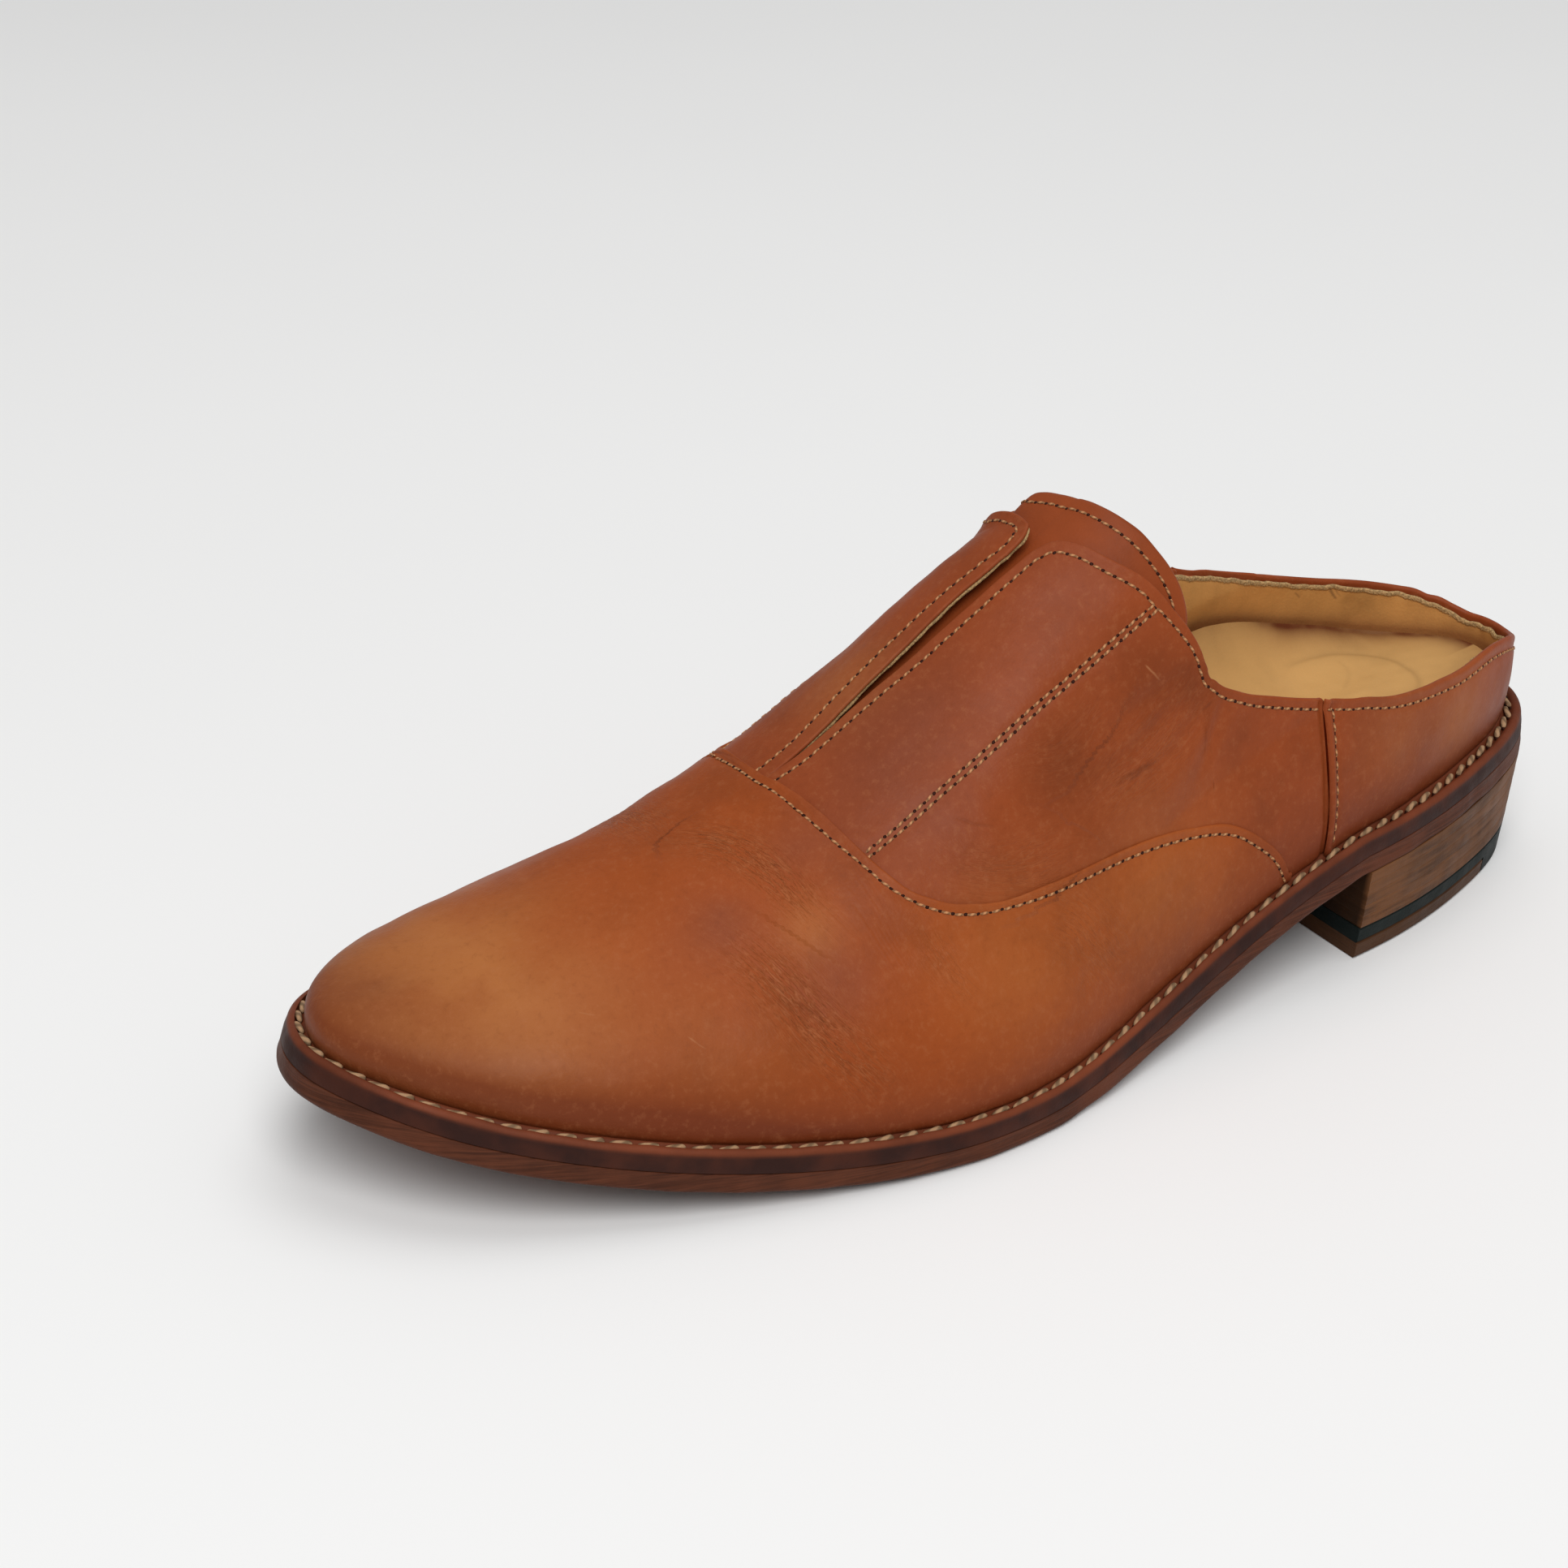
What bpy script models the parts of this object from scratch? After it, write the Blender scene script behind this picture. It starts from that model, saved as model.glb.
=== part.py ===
"""Backless leather slip-on shoe (mule) on a welted sole, left foot.

Frame: metres, +Z up, the floor is z = 0. The toe points to -Y, the heel to +Y and the outer
(lateral) side of the foot to +X. `along` is the distance forward from the back of the heel, and
`turn` is the angle that walks round the sole: 0 at the back of the heel, growing over the lateral
side to pi at the toe, and falling over the medial side to -pi. A section of the shoe joins the
lateral point at `turn` and the medial point at `-turn`, which lie at the same `along`.
"""

import bmesh
import bpy
import numpy as np

# ---- driving dimensions -------------------------------------------------------------------
LENGTH = 0.290  # outsole, heel to toe
OUTSOLE_THICKNESS = 0.0041
WELT_THICKNESS = 0.0040
GAP = 0.0003  # between curved pieces that touch
WELT_SHOW = 0.0056  # welt seen outside the upper
WALL = 0.0026  # leather and lining of the vamp
WELT_TOP = OUTSOLE_THICKNESS + GAP + WELT_THICKNESS  # above the tread
FEATHER = WELT_TOP + 1.5 * GAP  # lower edge of the upper, above the tread
WELT_INNER = WELT_SHOW + WALL + 0.0004  # the welt's inner edge, from the sole's edge
QUARTER_STEP = 0.0007  # how far the quarters lie under the vamp
COUNTER_STEP = 0.0001  # how far the counter lies under the vamp
SIDE_BULGE = 0.0022  # roundness of the wall just above the welt
SIDE_BULGE_HEIGHT = 0.030

BREAST = 0.070  # front face of the heel
HEEL_FRONT_HEIGHT = 0.0210  # floor to outsole at the breast
HEEL_BACK_HEIGHT = 0.0250
BALL = 0.162  # where the sole meets the floor
BALL_FLAT = 0.010
TOE_SPRING = 0.0215
TOE_SPRING_POWER = 1.95

HEEL_TAPER = 0.0022  # how much narrower the heel is at the floor
TOP_LIFT_THICKNESS = 0.0049
RUBBER_THICKNESS = 0.0027
RUBBER_TIP = 0.021  # length of the rear tip

THROAT = 0.1889  # lower end of the slit
SIDE_SEAM = 0.0785  # front edge of the heel counter

INSOLE_CLEARANCE = 0.0011  # footbed to wall
DISH_RINGS = (0.85, 0.6, 0.3)  # rings of the footbed's dished top, as shares of its half width

TONGUE_THICKNESS = 0.0018
TONGUE_DEPTH = WALL + 0.0009  # its outer face, inside the upper's outer face
TONGUE_FRONT = 0.204  # lower end, under the vamp
TONGUE_FRONT_CURVE = 0.006  # how much further back its lower corners lie
TONGUE_SIDE_SHARE = 0.46  # where its sides end, between the welt (0) and the crest (1)
TONGUE_SIDE_POWER = 1.3  # more keeps its columns closer to the crest

SOLE_CHAMFER = 0.0005
WELT_LIP_HEIGHT = 0.0018  # raised lip at the welt's outer edge
WELT_LIP_SOFT = 0.0004  # how far its edge is rounded
WELT_GROOVE = (0.0024, 0.0034)  # insets of the groove's two lower corners
WELT_GROOVE_DEPTH = 0.0009

COLUMNS = 88  # even stations round the upper, before its corners are added
SOLE_COLUMNS = 72
HEEL_STATIONS = 15
TONGUE_COLUMNS = 21
TONGUE_ROWS = 15
VAMP_ROWS = 11
QUARTER_ROWS = 8
MERGE = 0.00002  # points nearer than this become one
SAME_TURN = 1e-5  # angles nearer than this are one station
CREST_SOFTNESS = 0.010  # how gently the sections fan out at the crest's two ends

# Edge of the outsole seen from above.
SOLE_EDGE = np.array([
    # along, lateral x, medial x
    [0.000, -0.0088, -0.0088],
    [0.010, 0.0090, -0.0266],
    [0.028, 0.0186, -0.0360],
    [0.060, 0.0282, -0.0375],
    [0.100, 0.0333, -0.0340],
    [0.138, 0.0419, -0.0385],
    [0.170, 0.0486, -0.0450],
    [0.200, 0.0466, -0.0488],
    [0.228, 0.0398, -0.0490],
    [0.252, 0.0308, -0.0452],
    [0.272, 0.0190, -0.0375],
    [0.284, 0.0060, -0.0268],
    [0.290, -0.0097, -0.0097],
])

# Top line of the last's sections: the crest of the instep, then the middle of the vamp.
RIDGE = np.array([
    # along, x, z
    [0.030, -0.0070, 0.1100],
    [0.060, -0.0065, 0.1170],
    [0.090, -0.0060, 0.1163],
    [0.115, -0.0065, 0.1085],
    [0.140, -0.0080, 0.0920],
    [0.165, -0.0085, 0.0740],
    [0.190, -0.0090, 0.0587],
    [0.210, -0.0100, 0.0510],
    [0.235, -0.0110, 0.0442],
    [0.255, -0.0105, 0.0398],
    [0.271, -0.0100, 0.0362],
])

# Roundness of each section's two sides: 2 is an ellipse, more is squarer.
FULLNESS = np.array([
    # along, lateral, medial
    [0.000, 3.00, 3.00],
    [0.050, 2.50, 2.60],
    [0.090, 1.90, 2.60],
    [0.130, 1.75, 3.00],
    [0.160, 1.80, 3.10],
    [0.190, 1.95, 2.90],
    [0.215, 2.10, 2.45],
    [0.240, 2.25, 2.40],
    [0.265, 2.60, 2.60],
    [0.290, 2.90, 2.90],
])

# Free edge of the upper: its share of the way from the welt (0) to the crest (1).
FREE_EDGE = np.array([
    # along, lateral, medial
    [0.0000, 0.067, 0.067],
    [0.0100, 0.088, 0.076],
    [0.0200, 0.103, 0.096],
    [0.0400, 0.115, 0.136],
    [0.0600, 0.151, 0.182],
    [0.0780, 0.226, 0.240],
    [0.0900, 0.292, 0.304],
    [0.0990, 0.345, 0.357],
    [0.1050, 0.390, 0.402],
    [0.1098, 0.478, 0.480],
    [0.1168, 0.585, 0.590],
    [0.1240, 0.715, 0.730],
    [0.1290, 0.820, 0.850],
    [0.1311, 0.855, 0.915],
    [0.1345, 0.876, 1.000],
    [0.1473, 0.918, 1.000],
    [0.1600, 0.950, 1.000],
    [0.1723, 0.975, 1.000],
    [0.1889, 1.000, 1.000],
    [0.2900, 1.000, 1.000],
])

# Upper edge of the vamp, as the same share, from the wing's end at the welt to the crest.
VAMP_EDGE = np.array([
    # along, share
    [0.0892, 0.000],
    [0.0926, 0.057],
    [0.0968, 0.101],
    [0.1037, 0.157],
    [0.1133, 0.201],
    [0.1293, 0.256],
    [0.1518, 0.321],
    [0.1697, 0.384],
    [0.1785, 0.447],
    [0.1846, 0.535],
    [0.1889, 0.648],
    [0.1915, 0.786],
    [0.1935, 0.920],
    [0.1955, 1.000],
])

# Upper end of the tongue, from its middle (0) to its side (1): the corners are round.
TONGUE_TOP = np.array([
    # across, along
    [0.00, 0.1222],
    [0.35, 0.1200],
    [0.60, 0.1145],
    [0.80, 0.1090],
    [0.90, 0.1080],
    [0.96, 0.1100],
    [1.00, 0.1170],
])

# Height of the footbed above the welt at the wall, and how much lower its middle lies.
FOOTBED = np.array([
    # along, at the wall, dish
    [0.000, 0.0095, 0.0015],
    [0.040, 0.0105, 0.0020],
    [0.090, 0.0100, 0.0020],
    [0.140, 0.0060, 0.0010],
    [0.190, 0.0035, 0.0005],
    [0.290, 0.0030, 0.0003],
])

COLORS = {
    # name: (colour, roughness)
    "upper_leather": ((0.27, 0.085, 0.030, 1.0), 0.42),
    "tongue_leather": ((0.20, 0.060, 0.024, 1.0), 0.45),
    "lining_leather": ((0.62, 0.42, 0.22, 1.0), 0.60),
    "welt_leather": ((0.16, 0.045, 0.020, 1.0), 0.45),
    "sole_leather": ((0.085, 0.035, 0.020, 1.0), 0.50),
    "heel_leather": ((0.10, 0.042, 0.026, 1.0), 0.50),
    "heel_rubber": ((0.012, 0.018, 0.016, 1.0), 0.60),
}


# ---- curves and heights ---------------------------------------------------------------------
def turn_of(along):
    """Angle round the sole at which its outline reaches `along`: 0 at the heel, pi at the toe."""
    return np.arccos(np.clip(1.0 - 2.0 * np.asarray(along) / LENGTH, -1.0, 1.0))


def along_of(turn):
    """Distance from the back of the heel at an angle round the sole."""
    return LENGTH / 2.0 * (1.0 - np.cos(turn))


def column_value(table, along, column):
    """Smooth value of a table's column at `along`: cubic pieces whose slopes follow both neighbours."""
    x, y = table[:, 0], table[:, column]
    step = np.diff(x)
    slope = np.diff(y) / step
    inner = (slope[:-1] * step[1:] + slope[1:] * step[:-1]) / (step[:-1] + step[1:])
    inner = np.where(slope[:-1] * slope[1:] <= 0.0, 0.0, inner)
    tangent = np.concatenate([slope[:1], inner, slope[-1:]])
    at = np.clip(along, x[0], x[-1])
    k = np.clip(np.searchsorted(x, at, side="right") - 1, 0, len(x) - 2)
    t = (at - x[k]) / step[k]
    start = (2 * t**3 - 3 * t**2 + 1) * y[k] + (t**3 - 2 * t**2 + t) * step[k] * tangent[k]
    end = (3 * t**2 - 2 * t**3) * y[k + 1] + (t**3 - t**2) * step[k] * tangent[k + 1]
    return start + end


def closed_spline(knots, values):
    """Smooth curve through values at angles, repeating after a full turn: returns a function."""
    count = len(knots)
    step = np.diff(np.append(knots, knots[0] + 2.0 * np.pi))
    slope = np.diff(np.append(values, values[0])) / step
    matrix = np.zeros((count, count))
    right = np.zeros(count)
    for i in range(count):
        matrix[i, i] = 2.0 * (step[i - 1] + step[i])
        matrix[i, i - 1] += step[i - 1]
        matrix[i, (i + 1) % count] += step[i]
        right[i] = 6.0 * (slope[i] - slope[i - 1])
    bend = np.linalg.solve(matrix, right)

    def value(turn):
        turn = np.mod(np.asarray(turn) - knots[0], 2.0 * np.pi) + knots[0]
        k = np.clip(np.searchsorted(knots, turn, side="right") - 1, 0, count - 1)
        t = turn - knots[k]
        near, far = bend[k], bend[(k + 1) % count]
        first = slope[k] - step[k] * (2.0 * near + far) / 6.0
        return values[k] + t * first + t * t * near / 2.0 + t**3 * (far - near) / (6.0 * step[k])

    return value


def sole_edge_function():
    """x of the outsole's edge as a function of the turn."""
    turns = turn_of(SOLE_EDGE[:, 0])
    knots = np.concatenate([turns, 2.0 * np.pi - turns[-2:0:-1]])
    values = np.concatenate([SOLE_EDGE[:, 1], SOLE_EDGE[-2:0:-1, 2]])
    return closed_spline(knots, values)


SOLE_EDGE_X = sole_edge_function()


def tread_height(along):
    """Floor to the underside of the outsole: heel seat, arch, flat spot at the ball, toe spring."""
    along = np.asarray(along, float)
    seat_share = 1.0 - along / BREAST
    seat = HEEL_FRONT_HEIGHT + (HEEL_BACK_HEIGHT - HEEL_FRONT_HEIGHT) * seat_share
    rise = np.clip((BALL - along) / (BALL - BREAST), 0.0, 1.0)
    arch = HEEL_FRONT_HEIGHT * (0.5 * rise**2 * (3.0 - 2.0 * rise) + 0.5 * rise**1.7)
    flat_end = BALL + BALL_FLAT
    spring_share = np.clip((along - flat_end) / (LENGTH - flat_end), 0.0, None)
    spring = TOE_SPRING * spring_share**TOE_SPRING_POWER
    return np.where(along < BREAST, seat, np.where(along < flat_end, arch, spring))


def outline(turn, inset):
    """(along, x) of the sole's edge at each turn, moved inwards by `inset`."""
    tiny = 1e-3
    before = np.stack([along_of(turn - tiny), SOLE_EDGE_X(turn - tiny)], -1)
    after = np.stack([along_of(turn + tiny), SOLE_EDGE_X(turn + tiny)], -1)
    tangent = after - before
    tangent /= np.linalg.norm(tangent, axis=-1)[..., None]
    outward = np.stack([-tangent[..., 1], tangent[..., 0]], -1)
    edge = np.stack([along_of(turn), SOLE_EDGE_X(turn)], -1)
    return edge - outward * np.asarray(inset)[..., None]


def above_tread(point, height):
    """World point `height` above the underside of the outsole, square to it."""
    along, x = point[..., 0], point[..., 1]
    tiny = 0.0015
    slope = (tread_height(along + tiny) - tread_height(along - tiny)) / (2.0 * tiny)
    normal_z = 1.0 / np.sqrt(1.0 + slope**2)
    y = LENGTH / 2.0 - along + slope * normal_z * height
    return np.stack([x, y, tread_height(along) + normal_z * height], -1)


# ---- the last: the surface that the upper is pulled over --------------------------------------
def feather_point(turn, inward):
    """Lower edge of the wall, `inward` inside the upper's outer face."""
    return above_tread(outline(turn, WELT_SHOW + inward), FEATHER)


def crest_point(turn, inward):
    """Crest of a section. At heel and toe the sections fan out from the crest's two ends."""
    along = along_of(turn)
    first, last = RIDGE[0, 0], RIDGE[-1, 0] - inward
    soft = CREST_SOFTNESS
    station = first + soft * np.log1p(np.exp((along - first) / soft))
    station = last - soft * np.log1p(np.exp((last - station) / soft))
    station = np.clip(station, first, last)
    tiny = 0.001
    rise = column_value(RIDGE, station - tiny, 2) - column_value(RIDGE, station + tiny, 2)
    slope = rise / (2.0 * tiny)
    normal_z = 1.0 / np.sqrt(1.0 + slope**2)
    x = column_value(RIDGE, station, 1)
    y = LENGTH / 2.0 - station + slope * normal_z * inward
    z = column_value(RIDGE, station, 2) - normal_z * inward
    return np.stack([x, y, z], -1)


def fullness(turn):
    along = along_of(turn)
    lateral = np.sin(turn) >= 0.0
    return np.where(lateral, column_value(FULLNESS, along, 1), column_value(FULLNESS, along, 2))


def last_surface(turn, share, inward):
    """Point of a section: a super-ellipse from the feather (share 0) to the crest (share 1), with a
    low bulge just above the welt. `inward` is the distance inside the upper's outer face."""
    turn, share, inward = np.broadcast_arrays(turn, share, inward)
    foot = feather_point(turn, inward)
    crest = crest_point(turn, inward)
    power = 2.0 / fullness(turn)
    angle = np.clip(share, 0.0, 1.0) * np.pi / 2.0
    reach = 1.0 - np.clip(np.cos(angle), 0.0, 1.0) ** power
    height = np.sin(angle) ** power * (crest - foot)[..., 2]
    across = (crest - foot)[..., :2]
    outward = -across / (np.linalg.norm(across, axis=-1)[..., None] + 1e-9)
    bulge = SIDE_BULGE * np.sin(np.clip(height / SIDE_BULGE_HEIGHT, 0.0, 1.0) * np.pi)
    bulge *= np.clip(np.cos(angle), 0.0, 1.0)
    flat = foot[..., :2] + across * reach[..., None] + outward * bulge[..., None]
    return np.concatenate([flat, (foot[..., 2] + height)[..., None]], -1)


def share_at_height(turn, height, inward):
    """Share of the way up a section at which the wall is `height` above the feather."""
    full = crest_point(turn, inward)[..., 2] - feather_point(turn, inward)[..., 2]
    angle = np.arcsin(np.clip(height / full, 0.0, 1.0) ** (fullness(turn) / 2.0))
    return angle * 2.0 / np.pi


def free_edge(turn):
    """Share at which the upper ends: top line, slit edge or, over the vamp, the closed crest."""
    along = along_of(turn)
    lateral = np.sin(turn) >= 0.0
    return np.where(lateral, column_value(FREE_EDGE, along, 1), column_value(FREE_EDGE, along, 2))


def vamp_edge(turn):
    """Share at which the vamp ends: 0 behind its wing, 1 in front of the throat."""
    along = along_of(turn)
    edge = column_value(VAMP_EDGE, along, 1)
    edge = np.where(along <= VAMP_EDGE[0, 0], 0.0, np.where(along >= VAMP_EDGE[-1, 0], 1.0, edge))
    return np.minimum(edge, free_edge(turn))


# ---- meshes -----------------------------------------------------------------------------------
def material(name):
    found = bpy.data.materials.get(name)
    if found:
        return found
    color, roughness = COLORS[name]
    made = bpy.data.materials.new(name)
    made.use_nodes = True
    shader = made.node_tree.nodes["Principled BSDF"]
    shader.inputs["Base Color"].default_value = color
    shader.inputs["Roughness"].default_value = roughness
    shader.inputs["Metallic"].default_value = 0.0
    return made


def add_object(name, mesh, material_name, collection):
    mesh.materials.append(material(material_name))
    mesh.shade_smooth()
    mesh.set_sharp_from_angle(angle=np.radians(35.0))
    made = bpy.data.objects.new(name, mesh)
    collection.objects.link(made)
    return made


def solid_mesh(name, points, faces):
    """Closed mesh with coincident points merged and its faces turned outwards."""
    mesh = bpy.data.meshes.new(name)
    mesh.from_pydata(points.reshape(-1, 3).tolist(), [], faces)
    shape = bmesh.new()
    shape.from_mesh(mesh)
    bmesh.ops.remove_doubles(shape, verts=shape.verts, dist=MERGE)
    bmesh.ops.dissolve_degenerate(shape, edges=shape.edges, dist=MERGE)
    bmesh.ops.recalc_face_normals(shape, faces=shape.faces)
    if shape.calc_volume(signed=True) < 0.0:
        bmesh.ops.reverse_faces(shape, faces=shape.faces)
    shape.to_mesh(mesh)
    shape.free()
    return mesh


def ring_faces(rings, count):
    """Quads between neighbouring rings of `count` points, and strips of quads over both ends.

    Each ring walks round a section pair by pair, so the point i lies across from count - 1 - i.
    """
    faces = []
    for ring in range(rings - 1):
        low, high = ring * count, (ring + 1) * count
        for i in range(count):
            j = (i + 1) % count
            faces.append((low + i, low + j, high + j, high + i))
    for first, flip in ((0, True), ((rings - 1) * count, False)):
        for i in range(count // 2):
            quad = [first + i, first + i + 1, first + count - 2 - i, first + count - 1 - i]
            quad = list(dict.fromkeys(quad))
            if len(quad) > 2:
                faces.append(tuple(reversed(quad)) if flip else tuple(quad))
    return faces


def add_plate(name, rings, material_name, collection):
    """Solid through rings listed from the lowest to the highest."""
    points = np.array(rings)
    faces = ring_faces(points.shape[0], points.shape[1])
    return add_object(name, solid_mesh(name, points, faces), material_name, collection)


def sole_turns():
    """Turns round the whole sole, the same on both sides, with the ends of the ball's flat spot."""
    half = np.linspace(0.0, np.pi, SOLE_COLUMNS // 2 + 1)
    wanted = turn_of(np.array([BREAST, BALL, BALL + BALL_FLAT]))
    for turn in wanted:
        half[np.argmin(np.abs(half - turn))] = turn
    return np.concatenate([-half[::-1], half[1:]])


def build_outsole(collection):
    turns = sole_turns()
    rings = [
        above_tread(outline(turns, SOLE_CHAMFER), 0.0),
        above_tread(outline(turns, 0.0), SOLE_CHAMFER),
        above_tread(outline(turns, 0.0), OUTSOLE_THICKNESS - SOLE_CHAMFER),
        above_tread(outline(turns, SOLE_CHAMFER), OUTSOLE_THICKNESS),
    ]
    return add_plate("outsole", rings, "sole_leather", collection)


def build_welt(collection):
    """Strip swept round the whole shoe: a raised lip outside, and the groove that holds its seam."""
    turns = sole_turns()[:-1]
    low = OUTSOLE_THICKNESS + GAP
    groove = WELT_TOP - WELT_GROOVE_DEPTH
    slant = 0.8 * WELT_GROOVE_DEPTH
    profile = [
        # (inset from the sole's edge, height above the tread)
        (WELT_LIP_SOFT, low),
        (WELT_LIP_SOFT, WELT_TOP - WELT_LIP_HEIGHT),
        (0.0, WELT_TOP - 0.7 * WELT_LIP_HEIGHT),
        (WELT_LIP_SOFT, WELT_TOP),
        (WELT_GROOVE[0] - slant, WELT_TOP),
        (WELT_GROOVE[0], groove),
        (WELT_GROOVE[1], groove),
        (WELT_GROOVE[1] + slant, WELT_TOP),
        (WELT_INNER, WELT_TOP),
        (WELT_INNER, low),
    ]
    points = np.array([above_tread(outline(turns, inset), height) for inset, height in profile])
    faces = []
    count = len(turns)
    for ring in range(len(profile)):
        low_ring, high_ring = ring * count, (ring + 1) % len(profile) * count
        for i in range(count):
            j = (i + 1) % count
            faces.append((low_ring + i, low_ring + j, high_ring + j, high_ring + i))
    return add_object("welt", solid_mesh("welt", points, faces), "welt_leather", collection)


def heel_inset(height):
    """How far the heel's side lies inside the sole's edge at a height above the floor."""
    return HEEL_TAPER * (1.0 - height / HEEL_FRONT_HEIGHT).clip(0.0, 1.0)


def add_heel_piece(name, stations, low, high, material_name, collection):
    """Loft along the heel: each section is a four-sided slice between the heights low and high."""
    sections = []
    for turn, bottom, top in zip(turn_of(stations), low, high):
        section = []
        for side, height in ((1, bottom), (1, top), (-1, top), (-1, bottom)):
            along, x = outline(np.array(side * turn), heel_inset(np.array(height)))
            section.append([x, LENGTH / 2.0 - along, height])
        sections.append(section)
    count = len(sections)
    faces = [(0, 1, 2, 3), tuple(4 * (count - 1) + i for i in (3, 2, 1, 0))]
    for k in range(count - 1):
        for i in range(4):
            j = (i + 1) % 4
            faces.append((4 * k + j, 4 * k + i, 4 * k + 4 + i, 4 * k + 4 + j))
    mesh = solid_mesh(name, np.array(sections), faces)
    return add_object(name, mesh, material_name, collection)


def build_heel(collection):
    """Leather stack, the rubber layer with its rear tip, and the lift under the front."""
    stations = along_of(np.linspace(0.0, turn_of(BREAST), HEEL_STATIONS))
    rubber_bottom = TOP_LIFT_THICKNESS
    rubber_top = rubber_bottom + RUBBER_THICKNESS

    top = tread_height(np.minimum(stations, BREAST - 1e-6)) - GAP
    low = np.full(len(stations), rubber_top + GAP)
    add_heel_piece("heel_stack", stations, low, top, "heel_leather", collection)

    tip = stations[stations < RUBBER_TIP - 3.0 * GAP]
    rest = stations[stations > RUBBER_TIP + 3.0 * GAP]
    step = [RUBBER_TIP, RUBBER_TIP]
    along = np.concatenate([tip, step, rest])
    low = np.where(np.arange(len(along)) <= len(tip), 0.0, rubber_bottom)
    high = np.full(len(along), rubber_top)
    add_heel_piece("heel_rubber", along, low, high, "heel_rubber", collection)

    along = np.concatenate([[RUBBER_TIP + GAP], rest])
    low = np.zeros(len(along))
    high = np.full(len(along), rubber_bottom - GAP)
    add_heel_piece("top_lift", along, low, high, "heel_leather", collection)


def build_insole(collection):
    """Footbed: a plug inside the welt, then up against the wall, and a slightly dished top."""
    turns = sole_turns()
    along = along_of(turns)
    rise = column_value(FOOTBED, along, 1)
    dish = column_value(FOOTBED, along, 2)
    inside = WALL + INSOLE_CLEARANCE
    plug = outline(turns, WELT_INNER + GAP)
    rings = [
        above_tread(plug, OUTSOLE_THICKNESS + GAP),
        above_tread(plug, WELT_TOP),
        last_surface(turns, share_at_height(turns, 0.4 * rise, inside), inside),
        last_surface(turns, share_at_height(turns, rise, inside), inside),
    ]
    edge = rings[-1]
    middle = 0.5 * (edge + edge[::-1])
    for share in DISH_RINGS:
        ring = middle + (edge - middle) * share
        ring[:, 2] -= dish * (1.0 - share**2)
        rings.append(ring)
    return add_plate("insole", rings, "lining_leather", collection)


def upper_turns():
    """Turns of the upper's columns on one side, from heel to toe, with its corners among them."""
    even = np.linspace(0.0, np.pi, COLUMNS // 2)
    rim = FREE_EDGE[(FREE_EDGE[:, 0] > SIDE_SEAM) & (FREE_EDGE[:, 0] < LENGTH), 0]
    corners = turn_of(np.concatenate([VAMP_EDGE[:, 0], rim, [BREAST, SIDE_SEAM]]))
    gap = 0.3 * (even[1] - even[0])
    kept = even[np.abs(even[:, None] - corners).min(axis=1) > gap]
    ordered = np.sort(np.concatenate([kept, corners]))
    return ordered[np.append(True, np.diff(ordered) > SAME_TURN)]


def spread(count):
    """Shares from 0 to 1 that lie closer together near both ends."""
    return 0.5 - 0.5 * np.cos(np.linspace(0.0, np.pi, count + 1))


def build_upper(collection):
    """One hollow wall. Every column is a closed loop: up the outside over vamp and quarter, over
    the free edge, down the inside, and back under the wall. Columns at the side seams are doubled,
    which makes the counter's step; the loop's own step is the vamp's edge."""
    half = upper_turns()
    seam = float(turn_of(SIDE_SEAM))
    at_seam = np.abs(half - seam) < SAME_TURN
    behind = half <= seam + SAME_TURN
    lateral = np.concatenate([half[behind], half[at_seam], half[~behind]])
    is_counter = np.arange(len(lateral)) < np.count_nonzero(behind)
    turns = np.concatenate([-lateral[::-1], lateral[1:-1]])
    is_counter = np.concatenate([is_counter[::-1], is_counter[1:-1]])

    top = free_edge(turns)
    edge = vamp_edge(turns)
    closed = np.abs(turns) >= turn_of(THROAT) - SAME_TURN
    step = np.where(is_counter, COUNTER_STEP, QUARTER_STEP)
    step = np.where(edge >= 1.0 - 1e-6, 0.0, step)
    vamp_step = np.where(edge > 0.0, 0.0, step)

    vamp = edge * spread(VAMP_ROWS)[:, None]
    quarter = edge + (top - edge) * spread(QUARTER_ROWS)[:, None]
    outside = np.concatenate([
        last_surface(turns, vamp, vamp_step),
        last_surface(turns, quarter, step),
    ])
    inside_shares = np.concatenate([quarter[::-1], vamp[-2::-1]])
    inside = last_surface(turns, inside_shares, WALL)
    points = np.concatenate([outside, inside])

    rows, count = points.shape[:2]
    free_row = len(outside) - 1
    faces = []
    for row in range(rows):
        above = (row + 1) % rows
        for i in range(count):
            j = (i + 1) % count
            if row == free_row and closed[i] and closed[j]:
                continue
            faces.append((row * count + i, row * count + j, above * count + j, above * count + i))
    return add_object("upper", solid_mesh("upper", points, faces), "upper_leather", collection)


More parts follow.
